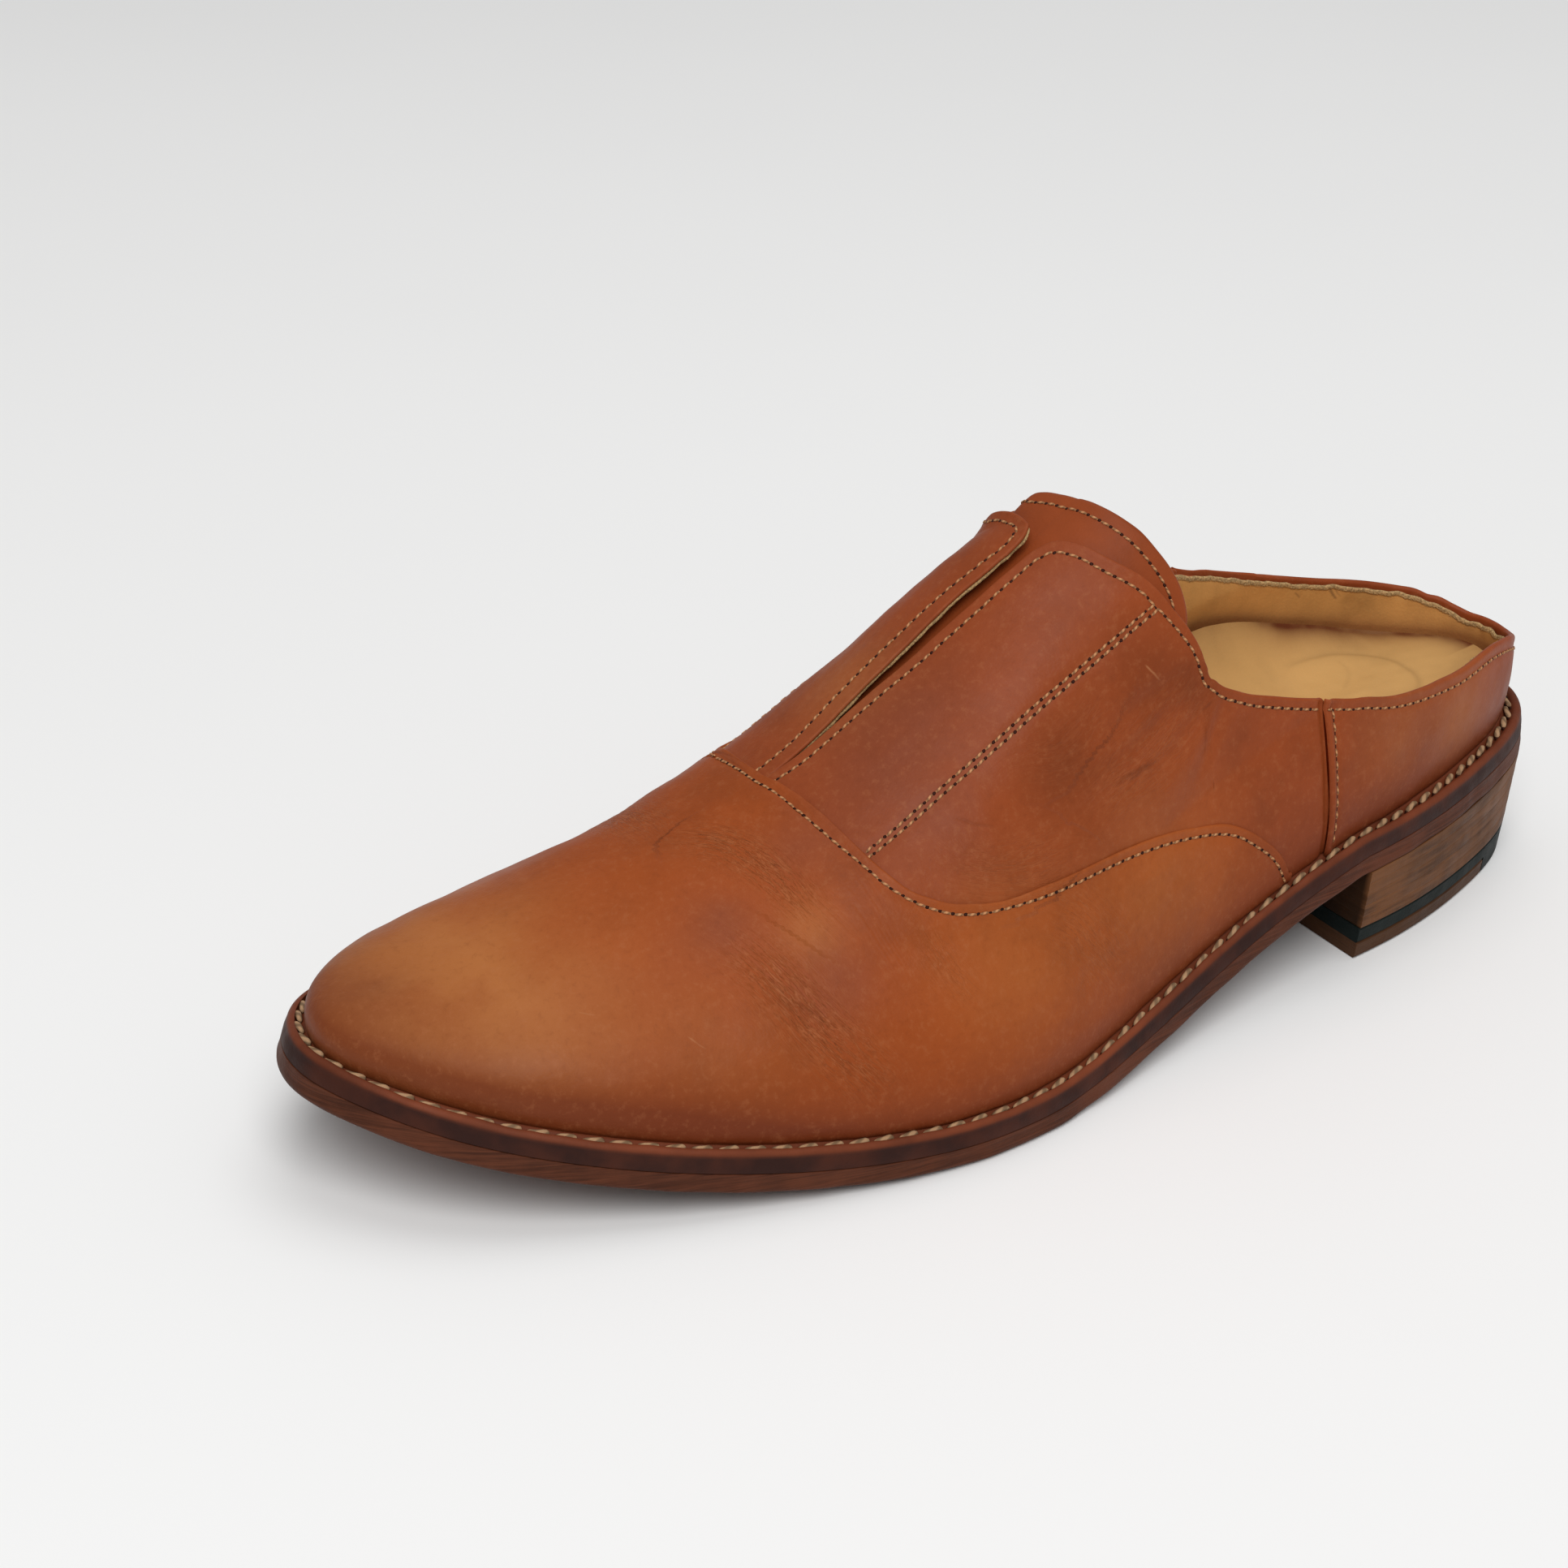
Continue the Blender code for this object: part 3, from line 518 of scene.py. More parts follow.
def unit(vectors):
    """Vectors scaled to length one."""
    return vectors / (size_of(vectors)[..., None] + 1e-12)


def run_along(line):
    """Way along a chain of points, 0 at the first."""
    return np.concatenate([[0.0], np.cumsum(size_of(np.diff(line, axis=0)))])


def points_at(line, run, at):
    """Points of a chain at given ways along it."""
    return np.stack([np.interp(at, run, column) for column in line.T], -1)


def last_normal(turn, share):
    """Outward direction of the last, from differences along the section and round the sole."""
    turn, share = np.broadcast_arrays(turn, share)
    share = np.clip(share, 0.01, 0.985)
    up = last_surface(turn, share + 0.004, 0.0) - last_surface(turn, share - 0.004, 0.0)
    round_sole = last_surface(turn + 0.002, share, 0.0) - last_surface(turn - 0.002, share, 0.0)
    return unit(np.cross(up, round_sole))


def side_turn(side, along):
    """Turn of a place on the lateral side, or past pi on the medial side."""
    turn = turn_of(along)
    return turn if side > 0 else 2.0 * np.pi - turn


def last_path(side, places, count=40):
    """Smooth path on the last through (along, share) places: Catmull-Rom pieces, evenly spaced."""
    places = np.array(places)
    padded = np.concatenate([[2 * places[0] - places[1]], places, [2 * places[-1] - places[-2]]])
    at = np.linspace(0.0, len(places) - 1.0, count)
    k = np.minimum(at.astype(int), len(places) - 2)
    t = (at - k)[:, None]
    a, b, c, d = (padded[k + i] for i in range(4))
    curve = b + 0.5 * t * (c - a + t * (2 * a - 5 * b + 4 * c - d + t * (3 * (b - c) + d - a)))
    return last_surface(side_turn(side, curve[:, 0]), curve[:, 1], 0.0)


def near_path(points, path):
    """Distance to a chain of straight pieces, the way along it from 0 to 1 and its length."""
    step = np.diff(path, axis=0)
    length, run = size_of(step), run_along(path)
    best = np.full(points.shape[:-1], np.inf)
    place = np.zeros(points.shape[:-1])
    offset = np.zeros(points.shape)
    for start, piece, size, before in zip(path[:-1], step, length, run):
        t = held((points - start) @ piece / size**2)
        gap = points - start - t[..., None] * piece
        distance = size_of(gap)
        closer = distance < best
        best = np.where(closer, distance, best)
        place = np.where(closer, (before + t * size) / run[-1], place)
        offset = np.where(closer[..., None], gap, offset)
    return best, place, offset, run[-1]


def fold_height(turn, share):
    """Rise of the wear folds: each is a bell across its path with low shoulders, tapering at its ends."""
    place = last_surface(turn, share, 0.0)
    total = np.zeros(place.shape[:-1])
    for side, height, half_width, path in FOLDS:
        distance, along_path, _, _ = near_path(place, last_path(side, path, 16))
        across = (distance / half_width) ** 2
        taper = np.sin(np.pi * held(along_path)) ** 0.7
        total += height * taper * (1.0 - 0.6 * across) * np.exp(-across)
    return total


def skin(turn, share, inward):
    """The last with its folds, `inward` below the upper's outer face."""
    turn, share = np.broadcast_arrays(turn, share)
    rise = fold_height(turn, share)
    return last_surface(turn, share, inward) + rise[..., None] * last_normal(turn, share)


def flap_move(turn, distance):
    """Move of the leather near the slit's inner edge, from the part's edge to the flap's own, with a
    lift: whole at the edge and gone some millimetres away from it."""
    along = along_of(turn)
    inner = (np.sin(turn) < 0.0) & (along > FLAP_EDGE[0, 0]) & (along < THROAT)
    past = along > FLAP_EDGE[-1, 0]
    goal = np.where(past, along, column_value(FLAP_EDGE, along, 1))
    share = np.where(past, 1.0, column_value(FLAP_EDGE, along, 2))
    over = share > 1.0
    goal_turn = np.where(over, turn_of(goal), 2.0 * np.pi - turn_of(goal))
    start_turn = 2.0 * np.pi - turn_of(along)
    start_share = column_value(FREE_EDGE, along, 2)
    move = last_surface(goal_turn, np.where(over, 2.0 - share, share), 0.0)
    move = move - last_surface(start_turn, start_share, 0.0)
    move = np.where(inner[..., None], move, 0.0) * bell(distance, 0.009)[..., None]
    lift = FLAP_LIFT * step_up(along, 0.1150, 0.1290) * step_up(THROAT - along, 0.0, 0.030) * inner
    lift = lift * bell(distance, 0.011)
    return move + lift[..., None] * last_normal(start_turn, start_share)


# ---- mesh helpers ----
def mesh_object(name, points, quads, material, polygons=(), layers=None, sharp=None):
    """Object from an array of points and rows of four indices. A row that repeats a point is a triangle,
    and `polygons` adds faces with more corners. Points that no face uses are dropped. `layers` holds
    values per point: two columns become the UV map of that name, four a colour attribute."""
    quads = np.asarray(quads).reshape(-1, 4)
    same = quads == np.roll(quads, -1, axis=1)
    keep = same.sum(axis=1) < 2
    quads, same = quads[keep], same[keep]
    corners = [quads[~same]] + [np.asarray(face) for face in polygons]
    corners = np.concatenate(corners).astype(int)
    sizes = np.concatenate([4 - same.sum(axis=1), [len(face) for face in polygons]]).astype(int)
    used, corners = np.unique(corners, return_inverse=True)
    corners = corners.reshape(-1)
    mesh = bpy.data.meshes.new(name)
    mesh.vertices.add(len(used))
    mesh.vertices.foreach_set("co", points.reshape(-1, 3)[used].ravel())
    mesh.loops.add(len(corners))
    mesh.loops.foreach_set("vertex_index", corners)
    mesh.polygons.add(len(sizes))
    mesh.polygons.foreach_set("loop_start", np.cumsum(sizes) - sizes)
    mesh.update(calc_edges=True)
    for layer_name, values in (layers or {}).items():
        values = values.reshape(-1, values.shape[-1])[used]
        if values.shape[1] == 2:
            layer = mesh.uv_layers.new(name=layer_name)
            layer.data.foreach_set("uv", values[corners].ravel())
        else:
            layer = mesh.attributes.new(layer_name, "FLOAT_COLOR", "POINT")
            layer.data.foreach_set("color", values.ravel())
    mesh.validate()
    mesh.shade_smooth()
    if sharp is not None:
        mesh.set_sharp_from_angle(angle=math.radians(sharp))
    mesh.materials.append(material)
    made = bpy.data.objects.new(name, mesh)
    bpy.context.scene.collection.objects.link(made)
    return made


def finish_piece(piece, slot, *nodes):
    """The piece rides on the shoe's one body and stands for these solids. `slot` is not used."""
    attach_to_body(piece, "root")
    if nodes:
        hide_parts(*nodes)
    return piece


def grid_quads(index, wrap_rows=False, wrap_columns=False):
    """Quads between neighbouring rows and columns of an index grid. They face outwards where the rows
    go up the outside and the columns go round the sole from the heel over the lateral side."""
    if wrap_rows:
        index = np.concatenate([index, index[:1]])
    if wrap_columns:
        index = np.concatenate([index, index[:, :1]], axis=1)
    return np.stack([index[:-1, :-1], index[1:, :-1], index[1:, 1:], index[:-1, 1:]], -1)


def soft_noise(points, size, seed):
    """Unevenness from about -1 to 1: the mean of nine plane waves near this size, drawn from a seed."""
    draw = np.random.default_rng(seed)
    total = np.zeros(points.shape[:-1])
    for _ in range(9):
        direction = unit(draw.normal(size=3)) * 2.0 * np.pi / (size * draw.uniform(0.7, 1.6))
        total += np.sin(points @ direction + draw.uniform(0.0, 2.0 * np.pi))
    return total / 3.5


def step_up(value, start, end):
    """0 before start, 1 after end, and the cubic 3t^2 - 2t^3 between them."""
    t = held((value - start) / (end - start))
    return t * t * (3.0 - 2.0 * t)


def even_turns(start, end, count, inset=WELT_SHOW, crowd=()):
    """Turns from start to end at even distances along the sole's outline. `crowd` lists places along
    the sole, with a width and a factor, where they stand closer: a bell added to the density."""
    fine = np.linspace(start, end, 4000)
    step = size_of(np.diff(outline(fine, inset), axis=0))
    for place, width, factor in crowd:
        step = step * (1.0 + factor * bell(along_of(fine[1:]) - place, width))
    run = np.concatenate([[0.0], np.cumsum(step)])
    return np.interp(np.linspace(0.0, run[-1], count), run, fine)


TOP_LINE_BENDS = ((0.1075, 0.0035, 4.0), (0.1320, 0.0040, 2.5))
ROLL_ROWS = 6  # rows round the free edge of a panel
SLAB_ROLL_ROWS = 5


def half_circle(rows):
    """Angles of the rows between the two ends of a half circle, for columns of points."""
    return np.linspace(0.0, np.pi, rows + 2)[1:-1, None, None]


def surface_steps(grid, groups, periodic):
    """Differences of a grid of points along its rows and columns, within each group of columns."""
    if periodic:
        padded = np.concatenate([grid[:, -1:], grid, grid[:, :1]], axis=1)
        down, across = np.gradient(padded, axis=(0, 1))
        return down[:, 1:-1], across[:, 1:-1]
    parts = [np.gradient(grid[:, group], axis=(0, 1)) for group in groups]
    return tuple(np.concatenate([part[k] for part in parts], axis=1) for k in (0, 1))


def fit_rows(turns, low, high, near_edge, rows, back=0.0):
    """Shares of a panel's rows, by distance along each column: even from the low edge, then at the
    distances `near_edge` from the free edge, measured square to it. The panel ends `back` short of
    `high`. Returns the shares and each point's distance from the free edge."""
    u = 0.5 - 0.5 * np.cos(np.linspace(0.0, np.pi, 181))[:, None]
    shares = low + (high - low) * u
    points = last_surface(turns, shares, 0.0)
    step = size_of(np.diff(points, axis=0))
    run = np.concatenate([np.zeros((1, len(turns))), np.cumsum(step, axis=0)])
    edge_run = unit(np.gradient(points[-1], axis=0))
    sine = size_of(np.cross(edge_run, unit(points[-1] - points[-4]))).clip(0.3, 1.0)
    total = run[-1] - back / sine
    fall = np.asarray(near_edge)[:, None] / sine
    fall = fall * np.minimum(1.0, 0.6 * total / fall[-1])
    base = (total - fall[-1]) * np.linspace(0.0, 1.0, rows, endpoint=False)[:, None]
    wanted = np.concatenate([base, total - fall[::-1]])
    found = np.stack([np.interp(w, r, s) for w, r, s in zip(wanted.T, run.T, shares.T)], 1)
    return found, (total - wanted) * sine


def wall_panel(name, turns, shares, edge_distance, material, inward, thickness, relief, groups=None,
               mirror=None, closed=None, periodic=False, inner_step=6, tuck=0.0012, flap=False,
               seat=None, shade_reach=0.008):
    """Closed leather panel on the last. Its rows go up the outside, round the free edge on a half
    circle as thick as the panel, and down the inside. Columns in `closed` meet their mirror image at
    the crest and have no free edge. `relief` gives a height for each point of the outer face. `flap`
    tells that the slit's inner edge is raised. `seat` is the height at which each column's painted
    shade is darkest."""
    rows, count = shares.shape
    groups = groups or [slice(0, count)]
    closed = np.zeros(count, bool) if closed is None else closed
    mirror = np.arange(count) if mirror is None else mirror
    outer = skin(turns, shares, inward)
    if flap:
        outer = outer + flap_move(turns, edge_distance)

    def normals(grid):
        down, across = surface_steps(grid, groups, periodic)
        normal = unit(np.cross(down, across))
        normal[-1] = np.where(closed[:, None], unit(normal[-1] + normal[-1, mirror]), normal[-1])
        return normal

    outer = outer + normals(outer) * relief(outer, edge_distance)[..., None]
    outer[-1] = np.where(closed[:, None], 0.5 * (outer[-1] + outer[-1, mirror]), outer[-1])
    normal = normals(outer)
    _, edge_run = surface_steps(outer[-2:], groups, periodic)
    away = unit(np.cross(normal[-1], edge_run[-1]))
    away *= np.sign(np.sum(away * (outer[-1] - outer[-2]), axis=-1) + 1e-12)[:, None]
    beside = np.roll(~closed, 1) | np.roll(~closed, -1)
    joint = closed & beside
    away = np.where(joint[:, None], unit(away + away[mirror]), away)
    away = np.where((closed & ~joint)[:, None], 0.0, away)

    thickness = np.broadcast_to(thickness, (count,))[:, None]
    radius = thickness / 2.0
    bend = half_circle(ROLL_ROWS)
    centre = outer[-1] - normal[-1] * radius
    roll = centre + normal[-1] * radius * np.cos(bend) + away * radius * np.sin(bend)
    up = unit(outer[1] - outer[0])
    foot = (outer[0] - tuck * up - 0.4 * tuck * normal[0])[None]
    picked = np.unique(np.append(np.arange(rows - 1, -1, -inner_step), 0))[::-1]
    inner = outer[picked] - normal[picked] * thickness
    points = np.concatenate([foot, outer, roll, inner, foot - normal[:1] * thickness])

    total = len(points)
    index = np.arange(total * count).reshape(total, count)
    second = closed & (mirror < np.arange(count))
    index[rows:rows + ROLL_ROWS + 2, second] = index[rows:rows + ROLL_ROWS + 2][:, mirror[second]]
    quads = grid_quads(index, True, periodic)
    beyond = np.append(closed, closed[0]) if periodic else closed
    both = beyond[1:] & beyond[:-1]
    kept = np.ones(quads.shape[:2], bool)
    kept[rows:rows + ROLL_ROWS + 1, both] = False
    caps = []
    if not periodic:
        for group in groups:
            if group.stop < count:
                kept[:, group.stop - 1] = False
            caps += [index[::-1, group.start], index[:, group.stop - 1]]

    distance = np.concatenate([edge_distance[:1], edge_distance, np.zeros((ROLL_ROWS, count)),
                               edge_distance[picked], edge_distance[:1]])
    edge = np.where(closed, 0.0, np.exp(-distance / 0.0012))
    flow, flex = wrinkle_flow(points)
    seat = feather_point(turns, 0.0)[:, 2] if seat is None else seat
    height = np.maximum(points[..., 2] - seat, 0.0)
    # Alpha of the build layer: painted shade, darkest at the seat height and fading upwards.
    build = np.stack([edge, 0.0 * edge, flex, np.exp(-height / shade_reach)], -1)
    layers = {"Flow": flow, "tones": tone_masks(points), "build": build}
    return mesh_object(name, points, quads[kept], material, caps, layers, sharp=40.0)


def tone_masks(points):
    """Masks of ochre patches (polished leather with a painted highlight), purple patches (plum leather
    with a painted reflection) and dark patches (painted shade): each patch is a bell round its place.
    """
    masks = dict.fromkeys(("ochre", "purple", "dark"), np.zeros(points.shape[:-1]))
    for tone, side, along, share, radius, amount in PATCHES:
        middle = last_surface(side_turn(side, np.array(along)), np.array(share), 0.0)
        distance = size_of(points - middle) / radius
        masks[tone] = masks[tone] + amount * np.exp(-distance**2)
    return np.stack([held(mask) for mask in masks.values()] + [np.ones(points.shape[:-1])], -1)


def wrinkle_flow(points):
    """Coordinates along and across the nearest wrinkle band in metres, and how strong it is here:
    a bell across the band that tapers at its ends."""
    shape = points.shape[:-1]
    best = np.zeros(shape)
    flow = np.zeros(shape + (2,))
    for number, (side, half_width, strength, places) in enumerate(WRINKLES):
        path = last_path(side, places, 16)
        distance, run, offset, length = near_path(points, path)
        middle = path[len(path) // 2]
        across = unit(np.cross(path[-1] - path[0], middle - np.array([middle[0] * 0.3, middle[1], 0.0])))
        ends = held(4.0 * run) * held(4.0 * (1.0 - run))
        amount = strength * bell(distance, half_width) * (0.25 + 0.75 * ends)
        stronger = amount > best
        place = np.stack([run * length + 0.3 * number, np.sum(offset * across, -1) + 0.1 * number], -1)
        flow = np.where(stronger[..., None], place, flow)
        best = np.maximum(best, amount)
    return flow, best


def ring_plate(name, rings, material, layers=None, sharp=35.0):
    """Solid through closed rings, listed from the middle of its underside, out and up its side to the
    middle of its top. Ladders of quads close the two innermost rings."""
    rings = np.array(rings)
    levels, count = rings.shape[:2]
    index = np.arange(levels * count).reshape(levels, count)
    quads = grid_quads(index, False, True).reshape(-1, 4)
    i = np.arange(count // 2)
    mirror = (count - np.arange(count + 1)) % count
    ladder = np.stack([i, i + 1, mirror[i + 1], mirror[i]], -1)
    quads = np.concatenate([quads, index[0][ladder], index[-1][ladder[:, ::-1]]])
    return mesh_object(name, rings, quads, material, layers=layers, sharp=sharp)


def round_turns(columns, crowd=()):
    """Turns all round, from the toe over the medial side and the heel, mirrored side to side."""
    half = even_turns(0.0, np.pi, columns // 2 + 1, 0.0, crowd)
    return np.concatenate([-half[::-1], half[1:-1]])


SPINE_ENDS = (0.045, 0.235)
SPINE_SOFTNESS = 0.014


def spine_along(turn):
    """Distance from the heel of the sole's middle line: the along of a turn, softly held between two
    ends, so that sections fan out at heel and toe."""
    first, last = SPINE_ENDS
    soft = SPINE_SOFTNESS
    along = first + soft * np.log1p(np.exp((along_of(turn) - first) / soft))
    return last - soft * np.log1p(np.exp((last - along) / soft))


def plan_ring(turns, inset, share):
    """Ring (along, x) of the sole drawn in towards its middle line: 1 is the edge, 0 the line."""
    middle_turn = turn_of(spine_along(turns))
    middle = 0.5 * (outline(middle_turn, inset) + outline(-middle_turn, inset))
    return middle + (outline(turns, inset) - middle) * share


# ---- the sole ----
OUTSOLE_SIDE = (
    # inset, height above the tread
    (0.0016, 0.0000), (0.0009, 0.0001), (0.0004, 0.0003), (0.0001, 0.0007), (0.0000, 0.0012),
    (0.0001, 0.0020), (0.0001, 0.0030), (0.0001, 0.0037), (0.0001, 0.0040), (0.0003, 0.0041),
    (0.0012, 0.0041),
)
WELT_SIDE = (
    # inset, height from the welt's underside
    (0.0050, 0.0000), (0.0014, 0.0000), (0.0003, 0.0000), (0.0001, 0.0001), (0.0001, 0.0004),
    (0.0001, 0.0012), (0.0002, 0.0020), (0.0003, 0.0026), (0.0003, 0.0030), (0.0004, 0.0034),
    (0.0006, 0.00375), (0.0009, 0.00405), (0.0013, 0.0042), (0.0017, 0.00415), (0.0020, 0.0039),
    (0.0022, 0.0036), (0.0024, 0.0032), (0.0027, 0.0029), (0.0031, 0.0028), (0.0035, 0.0029),
    (0.0038, 0.0032), (0.0040, 0.0036), (0.0043, 0.0039), (0.0047, 0.0040), (0.0052, 0.0040),
    (0.0058, 0.0040), (0.0066, 0.0040), (0.0082, 0.0040), (0.0082, 0.0020), (0.0082, 0.0000),
)
WELT_GROOVE = 0.0031
GROOVE_INSET = np.array([
    # along, inset of the groove's middle
    [0.000, 0.0034],
    [0.050, 0.0031],
    [0.085, 0.0025],
    [0.120, 0.0022],
    [0.290, 0.0023],
])
CONTACT = 0.00005  # gap between two visible pieces that lie on each other


def groove_inset(turns):
    """Inset of the welt's groove at each turn."""
    return column_value(GROOVE_INSET, along_of(turns), 1)


def outsole_rings(turns):
    """Underside drawn out from the middle line along the tread, then the rounded edge upwards."""
    rings = [above_tread(plan_ring(turns, 0.0016, share), 0.0) for share in (0.12, 0.35, 0.6, 0.8, 0.93)]
    wear = 0.00008 * soft_noise(above_tread(outline(turns, 0.0), 0.0), 0.012, 3)
    square = 1.0 - 0.85 * step_up(BREAST + 0.003 - along_of(turns), 0.0, 0.004)
    rings += [above_tread(outline(turns, inset * (square if height < 0.001 else 1.0) + wear), height)
              for inset, height in OUTSOLE_SIDE]
    return rings + [above_tread(plan_ring(turns, 0.0016, share), OUTSOLE_THICKNESS) for share in (0.9, 0.5)]


def welt_grid(turns):
    """The welt's profile carried round the sole's edge, with a slightly uneven lip."""
    base = OUTSOLE_THICKNESS + GAP
    edge = above_tread(outline(turns, 0.0), WELT_TOP)
    wave = 0.00008 * soft_noise(edge, 0.010, 5) + 0.00005 * soft_noise(edge, 0.004, 6)
    rows = []
    for inset, height in WELT_SIDE:
        height = height if height > 0.0003 else height - GAP + CONTACT
        lip = step_up(height, 0.0026, 0.0040) * (inset < 0.003)
        moved = step_up(inset, 0.0013, 0.0026) * (1.0 - step_up(inset, 0.0044, 0.0060))
        place = inset + (groove_inset(turns) - WELT_GROOVE) * moved
        rows.append(above_tread(outline(turns, place + 0.5 * wave * lip), base + height + wave * lip))
    return np.array(rows)


def red_mask(values):
    """Colour layer whose red holds a mask."""
    return np.stack([values, 0.0 * values, 0.0 * values, 0.0 * values + 1.0], -1)


def build_welt(material):
    """Welt strip: the closed profile carried all round."""
    turns = even_turns(-np.pi, np.pi, 1001, 0.0)[:-1]
    grid = welt_grid(turns)
    index = np.arange(grid.shape[0] * grid.shape[1]).reshape(grid.shape[:2])
    return mesh_object("welt_strip", grid, grid_quads(index, True, True), material,
                       layers={"marks": welt_marks(turns)}, sharp=60.0)


def welt_marks(turns):
    """Mask of the welt's darker side, below its lip."""
    side = [(1.0 - step_up(height, 0.0027, 0.0037)) * (inset < 0.001) for inset, height in WELT_SIDE]
    return red_mask(np.broadcast_to(np.array(side)[:, None], (len(side), len(turns))))


HEEL_COLUMNS = 151  # odd, so that a column stands at the heel's middle
BREAST_COLUMNS = 41
HEEL_LAYERS = 5
RUBBER_SHOW = 0.0035


def heel_ring(height, inset=0.0):
    """Plan of the heel at a height: round the sole's edge from the medial to the lateral corner of the
    breast, then straight across the breast. The taper grows evenly towards the floor."""
    end = float(turn_of(BREAST - 0.0003))
    turns = np.linspace(-end, end, HEEL_COLUMNS)
    taper = HEEL_TAPER * held(1.0 - height / HEEL_FRONT_HEIGHT) + inset
    side = outline(turns, taper)
    across = np.linspace(0.0, 1.0, BREAST_COLUMNS + 2)[1:-1, None]
    front = side[-1] + (side[0] - side[-1]) * across
    bow = held(8.0 * np.minimum(across, 1.0 - across)) ** 0.5
    front[:, 0] += (0.0003 - inset) * bow[:, 0]
    return np.roll(np.concatenate([side, front]), -(HEEL_COLUMNS + BREAST_COLUMNS // 2), axis=0)


def heel_spine(ring, share):
    """The heel's ring drawn in towards a short middle line."""
    middle = np.stack([np.clip(ring[:, 0], 0.026, 0.045), np.full(len(ring), ring[:, 1].mean())], -1)
    return middle + (ring - middle) * share


def heel_level(ring, height):
    """World points of a plan ring at a height, or at one height per point."""
    return np.stack([ring[:, 1], LENGTH / 2.0 - ring[:, 0], np.broadcast_to(height, len(ring))], -1)


def heel_stack_rings():
    """Leather layers parallel to the seat, with a fine groove between them and a wedge at the base. Also
    a mask of the breast face, which is painted dark as shade.
    """
    plain = heel_ring(HEEL_FRONT_HEIGHT)
    top = tread_height(np.minimum(plain[:, 0], BREAST - 1e-6)) - CONTACT
    base = TOP_LIFT_THICKNESS + RUBBER_SHOW + CONTACT
    low_front = HEEL_FRONT_HEIGHT - CONTACT
    rings = []
    for share in (0.15, 0.6):
        rings.append(heel_level(heel_spine(heel_ring(base), share), base))
    for layer in range(HEEL_LAYERS):
        for part, inset in ((0.02, 0.00007), (0.06, 0.00002), (0.12, 0.0), (0.5, -0.00003),
                          (0.88, 0.0), (0.94, 0.00002), (0.98, 0.00007)):
            level = (layer + part) / HEEL_LAYERS
            height = base + (top - base) * level
            flat = base + (low_front - base) * level
            ring = heel_ring(flat, inset)
            rings.append(heel_level(ring, height))
    for share in (0.6, 0.15):
        ring = heel_spine(plain, share)
        rings.append(heel_level(ring, tread_height(np.minimum(ring[:, 0], BREAST - 1e-6)) - CONTACT))
    # Mask of the breast face, painted dark as its shade.
    breast = np.zeros(HEEL_COLUMNS + BREAST_COLUMNS)
    breast[HEEL_COLUMNS:] = 1.0
    breast = np.roll(breast, -(HEEL_COLUMNS + BREAST_COLUMNS // 2))
    return rings, red_mask(np.broadcast_to(breast, (len(rings), len(breast))))


def heel_loft(name, along, low, high, material):
    """Solid along the heel: each section is a slice between two heights with small bevels, and its two
    ends are flat. The sides follow the heel's taper."""
    bevel = 0.00035
    corners = ((1, 0, 1, 0), (1, 1, 0, 0), (1, 1, 0, 1), (1, 0, 1, 1), (-1, 0, 1, 1), (-1, 1, 0, 1),
               (-1, 1, 0, 0), (-1, 0, 1, 0))
    sections = []
    for side, up, in_, is_top in corners:
        level = high - bevel * up if is_top else low + bevel * up
        taper = HEEL_TAPER * held(1.0 - level / HEEL_FRONT_HEIGHT) + bevel * in_
        place = outline(side * turn_of(along), taper)
        sections.append(heel_level(place, level))
    grid = np.array(sections)[::-1]
    index = np.arange(grid.shape[0] * grid.shape[1]).reshape(grid.shape[:2])
    quads = grid_quads(index, True, False)
    return mesh_object(name, grid, quads, material, [index[::-1, 0], index[:, -1]], sharp=35.0)


def build_heel_base(rubber, leather):
    """Rubber layer, whose rear tip reaches the floor, and the leather lift in front of the tip."""
    along = along_of(np.linspace(0.0, float(turn_of(BREAST)), 90))
    tip, rest = along[along < RUBBER_TIP - 0.001], along[along > RUBBER_TIP + 0.001]
    places = np.concatenate([tip, [RUBBER_TIP - 0.00002, RUBBER_TIP], rest])
    low = np.where(np.arange(len(places)) <= len(tip), 0.0, TOP_LIFT_THICKNESS)
    piece = heel_loft("rubber_layer", places, low, TOP_LIFT_THICKNESS + RUBBER_SHOW, rubber)
    finish_piece(piece, "heel_rubber", "heel_rubber")
    places = np.concatenate([[RUBBER_TIP + GAP], rest])
    piece = heel_loft("lift", places, 0.0, TOP_LIFT_THICKNESS - CONTACT, leather)
    finish_piece(piece, "heel_leather", "top_lift")


# ---- upper, lining, footbed and tongue ----
VAMP_EDGE = np.array([
    # along, share of the vamp's raised edge: lateral, medial
    [0.0880, 0.0000, 0.0000],
    [0.0915, 0.0609, 0.0590],
    [0.0959, 0.1073, 0.1070],
    [0.1032, 0.1655, 0.1670],
    [0.1132, 0.2113, 0.2130],
    [0.1294, 0.2677, 0.2700],
    [0.1519, 0.3347, 0.3400],
    [0.1697, 0.4000, 0.4080],
    [0.1780, 0.4620, 0.4690],
    [0.1837, 0.5470, 0.5520],
    [0.1870, 0.6600, 0.6080],
    [0.1890, 0.7930, 0.6650],
    [0.1904, 0.9250, 0.7600],
    [0.1910, 0.9700, 0.8700],
    [0.1914, 1.0000, 1.0000],
    [0.2900, 1.0000, 1.0000],
])
NEAR_EDGE = (0.0, 0.0003, 0.0007, 0.0012, 0.0018, 0.0024, 0.0031, 0.0039, 0.0048)
VAMP_THICKNESS = 0.0008
QUARTER_DEPTH = 0.0007
QUARTER_THICKNESS = 0.0009
COUNTER_DEPTH = 0.0001
COUNTER_OVERLAP = 0.0065
LINING_DEPTH = 0.0016
LINING_THICKNESS = 0.0008
LINING_DROP = 0.0005
SEAM_DIP = 0.00028
SEAM_DIP_WIDTH = 0.0009

COUNTER_MARGIN = 0.0017
TONGUE_MARGIN = 0.0023

